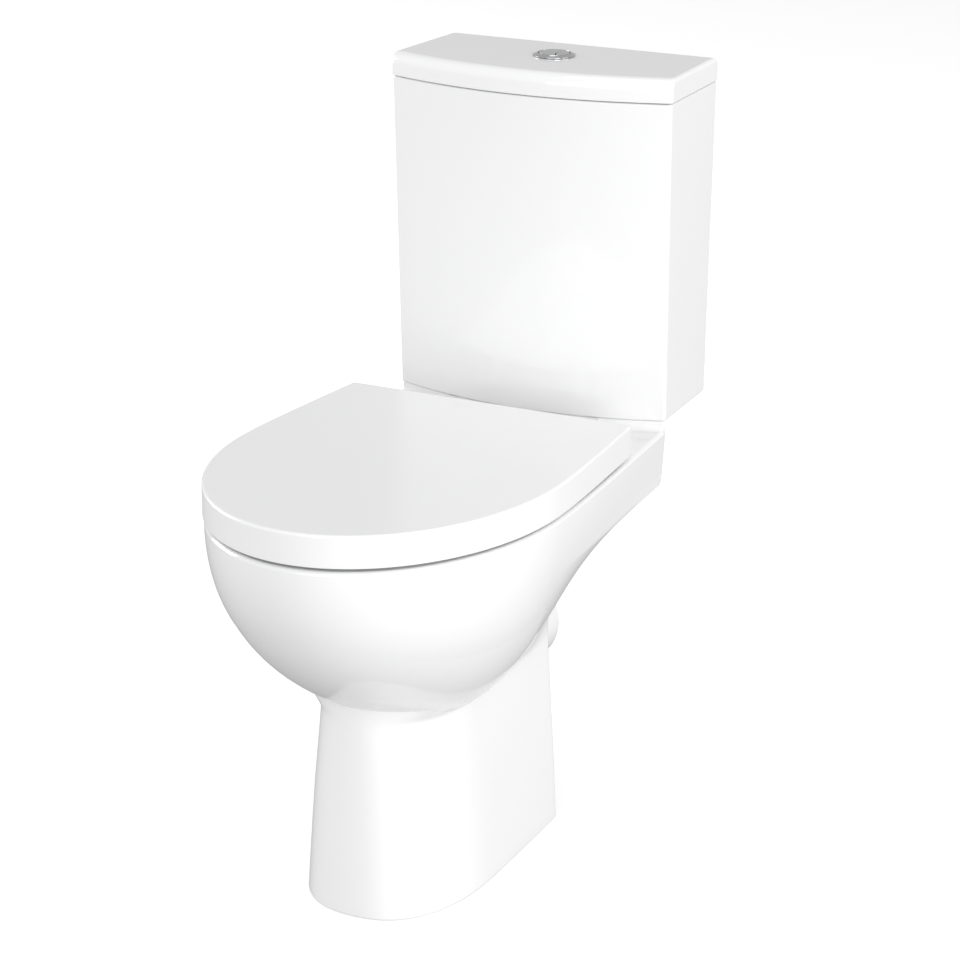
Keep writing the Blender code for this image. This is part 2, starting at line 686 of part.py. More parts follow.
def cistern_outline(z, inset=0.0):
    """Outline of the cistern at a height: it tapers a little downwards."""
    share = (z - CISTERN_BOTTOM) / CISTERN_HEIGHT
    front_half = mix(CISTERN_HALF_WIDTH_BOTTOM, CISTERN_HALF_WIDTH_TOP, share) - inset
    rear_half = mix(CISTERN_HALF_WIDTH_REAR - 0.003, CISTERN_HALF_WIDTH_REAR, share) - inset
    corner_reach = mix(CISTERN_CORNER_REACH_BOTTOM, CISTERN_CORNER_REACH_TOP, share) - inset
    radius = max(CISTERN_CORNER_RADIUS - inset, 0.002)
    return bowed_outline(front_half, rear_half, corner_reach, inset, radius, radius)


def cistern_ring(z, inset=0.0, height=None):
    """Outline of the cistern as points in space."""
    level = z if height is None else height
    return [at(x, reach, level) for x, reach in cistern_outline(z, inset)]


def make_cistern():
    """Vitreous china tank, open at the top, with its holes in the floor."""
    low, high = CISTERN_BOTTOM, CISTERN_TOP
    tank = loft("cistern", [cistern_ring(low, 0.0012), cistern_ring(low + 0.002),
                            cistern_ring(high - 0.0015), cistern_ring(high, 0.001)], CHINA)
    hollow = loft("cutter_tank", [cistern_ring(low, CISTERN_WALL, height=CISTERN_FLOOR),
                                  cistern_ring(high, CISTERN_WALL, height=high + 0.01)])
    below, above = low - 0.01, CISTERN_FLOOR + 0.01
    holes = [rod("cutter_valve_hole", at(0, VALVE_REACH, 0), VALVE_TAIL_RADIUS + FIT, below, above, 32),
             rod("cutter_fill_hole", at(FILL_X, FILL_REACH, 0), FILL_SHANK_RADIUS + FIT, below, above)]
    for side in (-1, 1):
        holes.append(rod("cutter_tank_bolt_" + side_name(side),
                         at(side * COUPLING_HALF_SPACING, VALVE_REACH, 0),
                         COUPLING_BOLT_RADIUS + FIT, below, above))
    return cut(tank, hollow, *holes)


def lid_ring(inset, height):
    """Outline of the lid, which stands a little proud of the cistern."""
    outline = cistern_outline(CISTERN_TOP, inset - LID_OVERHANG)
    return [at(x, max(reach, 0.0), height) for x, reach in outline]


def make_lid():
    """Lift-off lid: rolled front edge, faint crown, and a lip inside the cistern."""
    rise = LID_HEIGHT
    steps = [(0.0008, 0.0), (0.0, 0.0012), (0.0, 0.38), (0.0010, 0.55), (0.0035, 0.70),
             (0.0080, 0.82), (0.0150, 0.90), (0.045, 0.985), (0.058, 1.0)]
    rings = []
    for inset, share in steps:
        height = LID_BOTTOM + (share if share == 0.0012 else share * rise)
        rings.append(lid_ring(inset, height))
    lid = loft("cistern_lid", rings, CHINA)
    lip_inset = LID_OVERHANG + CISTERN_WALL + 0.0015
    lip = loft("body_lid_lip", [lid_ring(lip_inset, LID_BOTTOM - LID_LIP_DEPTH),
                                lid_ring(lip_inset, LID_BOTTOM + 0.004)])
    fuse(lid, lip)
    hollow = loft("cutter_lid", [lid_ring(lip_inset + LID_WALL - 0.002, LID_BOTTOM - 0.02),
                                 lid_ring(lip_inset + LID_WALL - 0.002, LID_BOTTOM + 0.010),
                                 lid_ring(lip_inset + LID_WALL + 0.008, LID_TOP - LID_WALL)])
    hole = rod("cutter_button_hole", at(0, VALVE_REACH, 0), SLEEVE_RADIUS + FIT,
               LID_BOTTOM - 0.02, LID_TOP + 0.02, 32)
    return cut(lid, hollow, hole)


# ================================================================ flush buttons
def make_bezel():
    """Chromed ring on the lid, dished inside, with its threaded sleeve through the lid."""
    seat = LID_TOP + GAP
    bore = BUTTON_RADIUS + FIT / 2
    bottom = seat - 0.030
    profile = [(bore, bottom), (SLEEVE_RADIUS, bottom), (SLEEVE_RADIUS, seat),
               (BEZEL_RADIUS, seat), (BEZEL_RADIUS - 0.0004, seat + 0.0016),
               (BEZEL_RADIUS - 0.0018, seat + BEZEL_HEIGHT), (bore + 0.0012, seat + 0.0012),
               (bore, seat + 0.0008)]
    return turned("button_bezel", at(0, VALVE_REACH, 0), profile, 32, CHROME)


def button_half(name, side, finish):
    """One part of the round button, on its own side of the dividing curve."""
    top = LID_TOP + GAP + BEZEL_HEIGHT + 0.0002
    bottom = top - BUTTON_THICKNESS
    centre = at(0, VALVE_REACH, 0)
    radius = BUTTON_RADIUS
    disc = turned(name, centre, [(0, bottom), (radius, bottom), (radius, top - 0.0008),
                                 (radius - 0.0009, top - 0.0001), (0, top)], 32, finish)
    split_x = BUTTON_SPLIT_X + BUTTON_SPLIT_RADIUS
    reach = 0.00025
    ball_centre = at(split_x, VALVE_REACH, 0)
    name_suffix = name.split("_")[0]
    if side < 0:
        tool = rod("cutter_split_" + name_suffix, ball_centre, BUTTON_SPLIT_RADIUS + reach,
                   bottom - 0.01, top + 0.01, 48)
        return cut(disc, tool)
    tool = rod("keep_split_" + name_suffix, ball_centre, BUTTON_SPLIT_RADIUS - reach,
               bottom - 0.01, top + 0.01, 48)
    return combine(disc, tool, "INTERSECT")


def make_buttons():
    """Bezel, its nut, both buttons and their push rods."""
    lid_underside = LID_TOP - LID_WALL
    centre = at(0, VALVE_REACH, 0)
    nut = pipe("button_nut", centre, SLEEVE_RADIUS + GAP, SLEEVE_RADIUS + 0.006,
               lid_underside - 0.007, lid_underside - GAP, 20, VALVE_PLASTIC)
    full = button_half("full_flush_button", -1, CHROME)
    half = button_half("half_flush_button", 1, CHROME)
    button_underside = LID_TOP + GAP + BEZEL_HEIGHT + 0.0002 - BUTTON_THICKNESS - GAP
    rods = []
    for name, x in (("full_flush_rod", -0.0060), ("half_flush_rod", 0.0105)):
        profile = [(0, valve_head_top() + BUTTON_TRAVEL + 0.001),
                   (0.0022, valve_head_top() + BUTTON_TRAVEL + 0.001),
                   (0.0022, button_underside - 0.003), (0.0038, button_underside - 0.002),
                   (0.0038, button_underside), (0, button_underside)]
        rods.append(turned(name, at(x, VALVE_REACH, 0), profile, 14, RED_PLASTIC))
    return make_bezel(), nut, full, half, rods[0], rods[1]


# ================================================================ flush valve
def valve_head_top():
    """Top of the flush valve's head."""
    return CISTERN_FLOOR + 0.008 + TOWER_HEIGHT + NECK_HEIGHT + 0.012


def make_flush_valve():
    """Valve base with its tail, cage, head, overflow spindle, seal and the nuts and washers."""
    centre = at(0, VALVE_REACH, 0)
    floor = CISTERN_FLOOR
    washer_top = floor + 0.0028
    washer = pipe("flush_valve_washer", centre, VALVE_TAIL_RADIUS + GAP, VALVE_FLANGE_RADIUS,
                  floor + GAP, washer_top, 20, RUBBER)
    flange = washer_top + GAP
    seat_top = flange + 0.0080
    tail_bottom = SHELF_UNDERSIDE - 0.006
    base = turned("flush_valve_base", centre,
                  [(VALVE_TAIL_BORE, tail_bottom), (VALVE_TAIL_RADIUS, tail_bottom),
                   (VALVE_TAIL_RADIUS, flange), (VALVE_FLANGE_RADIUS, flange),
                   (VALVE_FLANGE_RADIUS, flange + 0.0035), (TOWER_RADIUS - TOWER_WALL - GAP * 2,
                                                            flange + 0.0035),
                   (VALVE_TAIL_BORE + 0.003, seat_top), (VALVE_TAIL_BORE, seat_top)],
                  20, VALVE_PLASTIC)
    tower_bottom = flange + 0.0035 + GAP
    tower_top = tower_bottom + TOWER_HEIGHT
    neck_top = tower_top + NECK_HEIGHT
    inner = TOWER_RADIUS - TOWER_WALL
    neck_inner = NECK_RADIUS - TOWER_WALL
    cage = turned("flush_valve_cage", centre,
                  [(inner, tower_bottom), (TOWER_RADIUS, tower_bottom), (TOWER_RADIUS, tower_top - 0.008),
                   (NECK_RADIUS, tower_top), (NECK_RADIUS, neck_top), (neck_inner, neck_top),
                   (neck_inner, tower_top - 0.001), (inner, tower_top - 0.009)], 20, VALVE_PLASTIC)
    windows = []
    for i, turn in enumerate((45, 135)):
        window = block("cutter_window_" + str(i), (-0.06, 0.06), (-0.012, 0.012),
                       (tower_bottom + 0.006, tower_bottom + 0.034))
        shift = Matrix.Translation(-at(0, 0, 0))
        place = Matrix.Translation(centre) @ Matrix.Rotation(math.radians(turn), 4, "Z")
        window.data.transform(place @ shift)
        windows.append(window)
    cut(cage, *windows)
    head = turned("flush_valve_head", centre,
                  [(0, neck_top + GAP), (NECK_RADIUS + 0.003, neck_top + GAP),
                   (NECK_RADIUS + 0.003, neck_top + 0.009), (NECK_RADIUS, neck_top + 0.0115),
                   (0, neck_top + 0.0115)], 20, FLOAT_PLASTIC)
    spindle_bottom = seat_top + 0.004
    spindle_top = neck_top - VALVE_LIFT - 0.006
    tube = turned("overflow_tube", centre,
                  [(OVERFLOW_RADIUS - 0.0018, seat_top + 0.001), (OVERFLOW_RADIUS, seat_top + 0.001),
                   (OVERFLOW_RADIUS, spindle_bottom + GAP), (VALVE_TAIL_BORE + 0.002, spindle_bottom + GAP),
                   (VALVE_TAIL_BORE + 0.002, spindle_bottom + 0.004),
                   (OVERFLOW_RADIUS, spindle_bottom + 0.006), (OVERFLOW_RADIUS, spindle_top),
                   (OVERFLOW_RADIUS - 0.0018, spindle_top)], 20, VALVE_PLASTIC)
    seal = pipe("flush_seal", centre, OVERFLOW_RADIUS + GAP, VALVE_TAIL_BORE + 0.0045,
                seat_top + GAP, spindle_bottom, 20, RUBBER)
    float_bottom = spindle_bottom + 0.040
    flush_float = turned("flush_valve_float", centre,
                         [(OVERFLOW_RADIUS + GAP, float_bottom), (inner - 0.004, float_bottom),
                          (inner - 0.004, float_bottom + 0.034), (inner - 0.007, float_bottom + 0.038),
                          (OVERFLOW_RADIUS + GAP, float_bottom + 0.038)], 20, FLOAT_PLASTIC)
    backnut = backnut_ring("flush_valve_backnut", centre, VALVE_TAIL_RADIUS, BACKNUT_RADIUS,
                           SHELF_HEIGHT - 0.0125, SHELF_HEIGHT, 20)
    gasket = pipe("coupling_gasket", centre, BACKNUT_RADIUS + 0.0007, NUT_RECESS_RADIUS - FIT,
                  RECESS_FLOOR + GAP, SHELF_HEIGHT - 0.0002, 20, RUBBER)
    return [washer, base, cage, head, backnut, gasket], [tube, seal, flush_float]


def backnut_ring(name, centre, bore, radius, bottom, top, steps):
    """Flat plastic nut with a bevelled lower edge."""
    return turned(name, centre, [(bore + GAP, bottom), (radius - 0.0015, bottom),
                                 (radius, bottom + 0.002), (radius, top), (bore + GAP, top)],
                  steps, VALVE_PLASTIC)


# ================================================================ fill valve
def make_fill_valve():
    """Bottom entry fill valve: shank, column, head, float cup, link, arm, nut and washers."""
    centre = at(FILL_X, FILL_REACH, 0)
    floor = CISTERN_FLOOR
    head_bottom = floor + FILL_HEAD_RISE
    washer = pipe("fill_valve_washer", centre, FILL_SHANK_RADIUS + GAP, 0.0165, floor + GAP,
                  floor + 0.0028, 20, RUBBER)
    flange = floor + 0.0028 + GAP
    shank_bottom = CISTERN_BOTTOM - 0.048
    body = turned("fill_valve_body", centre,
                  [(0.0045, shank_bottom), (FILL_SHANK_RADIUS, shank_bottom),
                   (FILL_SHANK_RADIUS, flange), (0.0165, flange), (0.0165, flange + 0.005),
                   (0.0135, flange + 0.007), (0.0135, flange + 0.060),
                   (FILL_COLUMN_RADIUS, flange + 0.064), (FILL_COLUMN_RADIUS, head_bottom),
                   (0.0160, head_bottom + 0.002), (0.0160, head_bottom + 0.016),
                   (0.0, head_bottom + 0.016), (0.0, head_bottom + 0.010),
                   (0.0045, head_bottom + 0.010)], 20, VALVE_PLASTIC)
    cap = turned("fill_valve_cap", centre,
                 [(0, head_bottom + 0.016 + GAP), (0.0160, head_bottom + 0.016 + GAP),
                  (0.0160, head_bottom + 0.022), (0.0135, head_bottom + 0.025),
                  (0, head_bottom + 0.025)], 20, FLOAT_PLASTIC)
    low = floor + FLOAT_RISE
    bore = FILL_COLUMN_RADIUS + FIT
    cup = turned("float_cup", centre,
                 [(bore, low), (bore + 0.0018, low), (bore + 0.0018, low + FLOAT_HEIGHT - 0.002),
                  (FLOAT_RADIUS - 0.0018, low + FLOAT_HEIGHT - 0.002), (FLOAT_RADIUS - 0.0018, low),
                  (FLOAT_RADIUS, low), (FLOAT_RADIUS, low + FLOAT_HEIGHT), (bore, low + FLOAT_HEIGHT)],
                 28, FLOAT_PLASTIC)
    link_x = FILL_X + FLOAT_ARM_LENGTH
    ear_bottom = low + FLOAT_HEIGHT - 0.010
    ear = block("body_float_ear", (FILL_X + FLOAT_RADIUS - 0.0015, link_x + 0.0045),
                (FILL_REACH - 0.0045, FILL_REACH + 0.0045), (ear_bottom, ear_bottom + 0.006))
    link_centre = at(link_x, FILL_REACH, 0)
    ear_hole = rod("cutter_float_ear", link_centre, 0.0016 + GAP, ear_bottom - 0.01, ear_bottom + 0.02, 12)
    cut(fuse(cup, ear), ear_hole)
    pivot_z = head_bottom + 0.009
    droop = math.radians(20)
    eye_z = pivot_z - FLOAT_ARM_LENGTH * math.sin(droop)
    link = turned("float_link", link_centre,
                  [(0, ear_bottom - 0.006), (0.0030, ear_bottom - 0.006), (0.0030, ear_bottom - GAP),
                   (0.0016, ear_bottom - GAP), (0.0016, eye_z + 0.012), (0, eye_z + 0.012)],
                  12, STEEL)
    arm = make_float_arm(pivot_z, droop)
    nut = backnut_ring("fill_valve_backnut", centre, FILL_SHANK_RADIUS, 0.0150,
                       CISTERN_BOTTOM - 0.0130, CISTERN_BOTTOM - 0.0030, 16)
    under = pipe("fill_valve_lower_washer", centre, FILL_SHANK_RADIUS + GAP, 0.0150,
                 CISTERN_BOTTOM - 0.0030 + GAP, CISTERN_BOTTOM - GAP, 20, RUBBER)
    return [washer, body, cap, nut, under], [cup, link], arm, at(FILL_X, FILL_REACH, pivot_z)


def make_float_arm(pivot_z, droop):
    """Forked arm astride the valve head, hung on a level axis, drooping while the tank is empty."""
    half = 0.0190
    start = -0.006
    arm = block("float_arm", (start, FLOAT_ARM_LENGTH + 0.009), (-half, half), (-0.0025, 0.0025),
                VALVE_PLASTIC)
    fork = block("cutter_arm_fork", (start - 0.01, 0.0180), (-0.0165, 0.0165), (-0.02, 0.02))
    slot = block("cutter_arm_slot", (FLOAT_ARM_LENGTH - 0.0040, FLOAT_ARM_LENGTH + 0.0060),
                 (-0.0024, 0.0024), (-0.02, 0.02))
    trim = [block("cutter_arm_trim_" + side_name(side), (0.0215, 0.06),
                  (min(side * 0.0075, side * 0.04), max(side * 0.0075, side * 0.04)), (-0.02, 0.02))
            for side in (-1, 1)]
    place = (Matrix.Translation(at(FILL_X, FILL_REACH, pivot_z))
             @ Matrix.Rotation(droop, 4, "Y") @ Matrix.Translation(-at(0, 0, 0)))
    for piece in (arm, fork, slot, *trim):
        piece.data.transform(place)
    return cut(arm, fork, slot, *trim)


# ================================================================ cistern to pan couplings
def make_couplings():
    """Two bolts from inside the cistern through the shelf, with washers and wing nuts."""
    pieces = []
    for side in (-1, 1):
        tag = side_name(side)
        centre = at(side * COUPLING_HALF_SPACING, VALVE_REACH, 0)
        seal_top = CISTERN_FLOOR + 0.0030
        pieces.append(pipe("coupling_seal_" + tag, centre, COUPLING_BOLT_RADIUS + GAP, 0.0110,
                           CISTERN_FLOOR + GAP, seal_top, 14, RUBBER))
        head = seal_top + GAP
        tip = SHELF_UNDERSIDE - 0.030
        pieces.append(turned("coupling_bolt_" + tag, centre,
                             [(0, tip), (COUPLING_BOLT_RADIUS - 0.001, tip),
                              (COUPLING_BOLT_RADIUS, tip + 0.001), (COUPLING_BOLT_RADIUS, head),
                              (0.0085, head), (0.0085, head + 0.003), (0.0060, head + 0.0052),
                              (0, head + 0.0058)], 14, STEEL))
        washer_bottom = SHELF_UNDERSIDE - 0.0020
        pieces.append(pipe("coupling_washer_" + tag, centre, COUPLING_BOLT_RADIUS + GAP, 0.0110,
                           washer_bottom, SHELF_UNDERSIDE - GAP, 14, STEEL))
        pieces.append(wing_nut("coupling_wing_nut_" + tag, centre, COUPLING_BOLT_RADIUS,
                               washer_bottom - GAP, STEEL))
    return pieces


def wing_nut(name, centre, bore, top, finish):
    """Wing nut: a round boss with two wings that lie front to back."""
    bottom = top - 0.009
    boss = pipe(name, centre, bore + GAP, bore + 0.0040, bottom, top, 12, finish)
    wing = block("body_wings_" + name, (-0.0012, 0.0012), (-0.0150, 0.0150),
                 (bottom - 0.004, top - 0.002))
    wing.data.transform(Matrix.Translation(centre - at(0, 0, 0)))
    bore_cut = rod("cutter_" + name, centre, bore + GAP, bottom - 0.01, top + 0.01, 12)
    return cut(fuse(boss, wing), bore_cut)


# ================================================================ seat
def seat_outline(inset, rear=None):
    """Plan outline of the cover, moved inwards by the inset."""
    half = COVER_HALF_WIDTH - inset
    rear_half = COVER_REAR_HALF_WIDTH - inset
    rear_reach = COVER_REAR_REACH + inset if rear is None else rear
    radius = 0.004
    points = front_curve(half, PAN_WIDEST_REACH, OVERALL_REACH - inset, 2.0, 13)
    points += side_curve(half, PAN_WIDEST_REACH, rear_half, rear_reach + radius, 3)
    points += corner(rear_half, rear_reach, radius, 2)
    points.append((0.0, rear_reach))
    return mirrored(points)


def seat_ring_points(inset, z, rear=None):
    """Outline of the seat as points in space."""
    return [at(x, reach, z) for x, reach in seat_outline(inset, rear)]


def knuckle(name, x_range, arm_outline):
    """Hinge knuckle along X with its arm, whose side outline is (reach, z) pairs."""
    barrel = rod(name, at(0, HINGE_REACH, HINGE_HEIGHT), KNUCKLE_RADIUS, x_range[0], x_range[1],
                 20, across=True)
    rings = [[at(x, reach, z) for reach, z in arm_outline] for x in x_range]
    return barrel, loft(name + "_arm", rings)


def hinge_bore(name):
    """Bore of both hinges, right through every knuckle."""
    return rod(name, at(0, HINGE_REACH, HINGE_HEIGHT), PIN_RADIUS + FIT / 2, -0.2, 0.2, 12, across=True)


def knuckle_span(side, first):
    """X range of a knuckle: the cover's is nearer the middle, the ring's is outside the post."""
    near_post = LUG_WIDTH / 2 + 2 * GAP
    direction = -1 if first else 1
    start = HINGE_HALF_SPACING + direction * near_post
    end = start + direction * KNUCKLE_WIDTH
    return tuple(sorted((side * start, side * end)))


def make_cover():
    """Wrap-over cover: flat top, skirt down past the ring, open at the rear for the hinges."""
    top, low = COVER_TOP, SEAT_BOTTOM
    rings = [seat_ring_points(0.0008, low), seat_ring_points(0.0, low + 0.001),
             seat_ring_points(0.0, top - 0.0050), seat_ring_points(0.0007, top - 0.0022),
             seat_ring_points(0.0026, top - 0.0005), seat_ring_points(0.0055, top)]
    cover = loft("seat_cover", rings, SEAT_PLASTIC)
    underside = top - COVER_THICKNESS
    hollow = loft("cutter_cover", [seat_ring_points(COVER_THICKNESS, z, COVER_REAR_REACH - 0.02)
                                   for z in (low - 0.01, underside)])
    cut(cover, hollow)
    arm = [(HINGE_REACH - 0.0040, HINGE_HEIGHT + 0.0050), (HINGE_REACH + 0.0070, HINGE_HEIGHT - 0.002),
           (COVER_REAR_REACH + 0.014, underside - 0.0030), (COVER_REAR_REACH + 0.014, underside + 0.002),
           (COVER_REAR_REACH + 0.001, underside + 0.002)]
    for side in (-1, 1):
        fuse(cover, *knuckle("body_cover_knuckle_" + side_name(side), knuckle_span(side, True), arm))
    return cut(cover, hinge_bore("cutter_cover_bore"))


def make_ring():
    """Seat ring under the cover, with its two hinge knuckles."""
    rings = [seat_ring_points(RING_SETBACK + 0.002, RING_BOTTOM),
             seat_ring_points(RING_SETBACK, RING_BOTTOM + 0.002),
             seat_ring_points(RING_SETBACK, RING_TOP - 0.006),
             seat_ring_points(RING_SETBACK + 0.0020, RING_TOP - 0.002),
             seat_ring_points(RING_SETBACK + 0.0075, RING_TOP)]
    ring = loft("seat_ring", rings, SEAT_PLASTIC)
    nose = OVERALL_REACH - RING_FRONT_WIDTH
    half, rear = RING_OPENING_HALF_WIDTH, RING_OPENING_REAR_REACH
    opening = loft("cutter_ring", [opening_ring(z, half + grow, nose + grow, rear - grow)
                                   for z, grow in ((RING_BOTTOM - 0.01, 0.0),
                                                   (RING_TOP - 0.007, 0.0),
                                                   (RING_TOP - 0.002, 0.003),
                                                   (RING_TOP + 0.001, 0.009))])
    cut(ring, opening)
    arm_front = COVER_REAR_REACH + RING_SETBACK + 0.006
    arm = [(HINGE_REACH, HINGE_HEIGHT - 0.0080), (arm_front, RING_BOTTOM + 0.0025),
           (arm_front, RING_TOP - 0.004), (HINGE_REACH, HINGE_HEIGHT + 0.0075)]
    for side in (-1, 1):
        fuse(ring, *knuckle("body_ring_knuckle_" + side_name(side), knuckle_span(side, False), arm))
    return cut(ring, hinge_bore("cutter_ring_bore"))


def make_hinge(side):
    """Hinge post, pin, and the bolt that holds the post to the deck with washer and nut."""
    tag = side_name(side)
    x = side * HINGE_HALF_SPACING
    centre = at(x, HINGE_REACH, 0)
    foot = RIM_HEIGHT + GAP
    post = turned("hinge_post_" + tag, centre,
                  [(0, foot), (0.0135, foot), (0.0135, foot + 0.0015), (0.0120, foot + 0.0028),
                   (0, foot + 0.0028)], 20, STEEL)
    lug_range = (x - LUG_WIDTH / 2, x + LUG_WIDTH / 2)
    lug = block("body_lug_" + tag, lug_range, (HINGE_REACH - KNUCKLE_RADIUS, HINGE_REACH + KNUCKLE_RADIUS),
                (foot + 0.001, HINGE_HEIGHT))
    crown = rod("body_lug_crown_" + tag, at(0, HINGE_REACH, HINGE_HEIGHT), KNUCKLE_RADIUS,
                lug_range[0], lug_range[1], 20, across=True)
    socket_top = foot + 0.0055
    socket = rod("cutter_post_socket_" + tag, centre, SEAT_BOLT_RADIUS + GAP, foot - 0.01, socket_top, 12)
    cut(fuse(post, lug, crown), hinge_bore("cutter_post_bore_" + tag), socket)
    outer = HINGE_HALF_SPACING + LUG_WIDTH / 2 + 2 * GAP + KNUCKLE_WIDTH
    inner = HINGE_HALF_SPACING - LUG_WIDTH / 2 - 2 * GAP - KNUCKLE_WIDTH
    ends = sorted((side * (inner - 0.001), side * (outer + 0.001)))
    pin = rod("hinge_pin_" + tag, at(0, HINGE_REACH, HINGE_HEIGHT), PIN_RADIUS, ends[0], ends[1],
              12, STEEL, across=True)
    tip = DECK_UNDERSIDE - 0.032
    bolt = rod("seat_bolt_" + tag, centre, SEAT_BOLT_RADIUS, tip, socket_top - GAP, 12, SOFT_WHITE)
    washer_bottom = DECK_UNDERSIDE - 0.0030
    washer = pipe("seat_washer_" + tag, centre, SEAT_BOLT_RADIUS + GAP, 0.0120, washer_bottom,
                  DECK_UNDERSIDE - GAP, 20, RUBBER)
    nut = wing_nut("seat_wing_nut_" + tag, centre, SEAT_BOLT_RADIUS, washer_bottom - GAP, SOFT_WHITE)
    return [post, pin, bolt, washer, nut]


def buffer(name, x, reach, bottom, top):
    """Small round buffer with a rounded foot."""
    return turned(name, at(x, reach, 0), [(0, bottom), (BUFFER_RADIUS - 0.0015, bottom),
                                          (BUFFER_RADIUS, bottom + 0.001), (BUFFER_RADIUS, top),
                                          (0, top)], 12, SOFT_WHITE)


def ring_middle(reach):
    """Side offset of the middle of the ring at a reach in front of its widest place."""
    outer_length = OVERALL_REACH - RING_SETBACK - PAN_WIDEST_REACH
    nose = OVERALL_REACH - RING_FRONT_WIDTH
    centre = mix(RING_OPENING_REAR_REACH, nose, 0.45)
    run = reach - PAN_WIDEST_REACH
    outer = (COVER_HALF_WIDTH - RING_SETBACK) * math.sqrt(1 - (run / outer_length) ** 2)
    inner = RING_OPENING_HALF_WIDTH * math.sqrt(1 - ((reach - centre) / (nose - centre)) ** 2)
    return (outer + inner) / 2


def make_buffers():
    """Buffers between ring and deck, and between cover and ring."""
    ring_buffers, cover_buffers = [], []
    front = mix(PAN_WIDEST_REACH, OVERALL_REACH, 0.56)
    front_x = ring_middle(front)
    rear_x = (COVER_REAR_HALF_WIDTH - RING_SETBACK + RING_OPENING_HALF_WIDTH) / 2 + 0.006
    rear = RING_OPENING_REAR_REACH - 0.022
    for side in (-1, 1):
        tag = side_name(side)
        for place, reach, x in (("rear", rear, rear_x), ("front", front, front_x)):
            ring_buffers.append(buffer("ring_buffer_" + place + "_" + tag, side * x, reach,
                                       RIM_HEIGHT + GAP, RING_BOTTOM - GAP))
        cover_buffers.append(buffer("cover_buffer_" + tag, side * (front_x - 0.004), front,
                                    RING_TOP + GAP, COVER_TOP - COVER_THICKNESS - GAP))
    return ring_buffers, cover_buffers


# ================================================================ assembly
def build():
    """Model every piece and hang the moving ones on the empties of their joints."""
    clear_scene()
    make_pan()
    make_cistern()
    lid = make_lid()
    bezel, button_nut, full, half, full_rod, half_rod = make_buttons()
    lid_guide = axis_empty("lid_guide", at(0, VALVE_REACH, LID_BOTTOM))
    full_guide = axis_empty("full_flush_guide", at(-0.006, VALVE_REACH, LID_TOP), lid_guide)
    half_guide = axis_empty("half_flush_guide", at(0.0105, VALVE_REACH, LID_TOP), lid_guide)
    carry(lid_guide, lid, bezel, button_nut)
    carry(full_guide, full, full_rod)
    carry(half_guide, half, half_rod)

    _, spindle = make_flush_valve()
    carry(axis_empty("flush_valve_guide", at(0, VALVE_REACH, CISTERN_FLOOR)), *spindle)
    _, float_pieces, float_arm, arm_pivot = make_fill_valve()
    carry(axis_empty("float_guide", at(FILL_X, FILL_REACH, CISTERN_FLOOR + FLOAT_RISE)), *float_pieces)
    carry(axis_empty("float_arm_pivot", arm_pivot), float_arm)
    make_couplings()

    ring, cover = make_ring(), make_cover()
    for side in (-1, 1):
        make_hinge(side)
    ring_buffers, cover_buffers = make_buffers()
    axis = at(0, HINGE_REACH, HINGE_HEIGHT)
    ring_axis = axis_empty("ring_hinge_axis", axis)
    cover_axis = axis_empty("cover_hinge_axis", axis, ring_axis)
    carry(ring_axis, ring, *ring_buffers)
    carry(cover_axis, cover, *cover_buffers)


build()
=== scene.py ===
"""Looks of a close coupled toilet: glazed pan, cistern and lid, moulded seat, chromed buttons.

Metres, +Z up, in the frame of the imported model.  The wall is behind (+Y) and the nose of the pan
points to -Y.  A "reach" is a distance from the wall towards the front.
"""

from __future__ import annotations

import json
import logging
import math
from collections.abc import Callable, Iterator, Sequence
from contextlib import contextmanager
from dataclasses import dataclass, field
from enum import Enum

import bmesh
import bpy
from mathutils import Matrix, Vector


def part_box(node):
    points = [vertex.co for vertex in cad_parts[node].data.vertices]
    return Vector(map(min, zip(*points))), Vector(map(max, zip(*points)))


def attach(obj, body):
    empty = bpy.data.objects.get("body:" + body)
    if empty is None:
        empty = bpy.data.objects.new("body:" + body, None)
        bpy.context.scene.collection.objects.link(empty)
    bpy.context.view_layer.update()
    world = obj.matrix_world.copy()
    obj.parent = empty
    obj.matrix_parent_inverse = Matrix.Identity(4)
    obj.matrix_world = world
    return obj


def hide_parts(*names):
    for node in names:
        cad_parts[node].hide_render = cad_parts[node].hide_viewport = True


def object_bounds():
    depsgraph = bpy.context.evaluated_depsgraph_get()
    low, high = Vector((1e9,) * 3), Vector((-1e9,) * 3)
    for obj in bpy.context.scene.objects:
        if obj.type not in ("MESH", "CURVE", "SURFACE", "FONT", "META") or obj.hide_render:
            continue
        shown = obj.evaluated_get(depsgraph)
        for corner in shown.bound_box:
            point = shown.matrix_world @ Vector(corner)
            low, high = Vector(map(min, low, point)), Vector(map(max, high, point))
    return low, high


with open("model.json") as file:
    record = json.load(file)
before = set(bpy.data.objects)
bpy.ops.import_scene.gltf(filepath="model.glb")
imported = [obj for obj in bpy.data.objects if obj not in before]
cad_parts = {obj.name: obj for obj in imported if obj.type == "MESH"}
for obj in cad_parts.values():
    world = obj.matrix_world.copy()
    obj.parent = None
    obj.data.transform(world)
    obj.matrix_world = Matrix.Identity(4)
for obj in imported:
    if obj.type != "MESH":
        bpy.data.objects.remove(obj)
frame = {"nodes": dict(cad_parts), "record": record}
CAD_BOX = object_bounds()
LOG = logging.getLogger("toilet")

Ring = list[Vector]
Outline = list[tuple[float, float]]
Piece = bpy.types.Object

AIR = 0.0003            # gap between two pieces that touch


class Side(Enum):
    """Side of the toilet, seen by someone who stands in front of it."""

    LEFT = -1
    RIGHT = 1

    @property
    def tag(self) -> str:
        """Word used in the names of pieces."""
        return self.name.lower()


class Cut(Enum):
    """What a Boolean does to its target."""

    AWAY = "DIFFERENCE"
    JOIN = "UNION"
    KEEP = "INTERSECT"


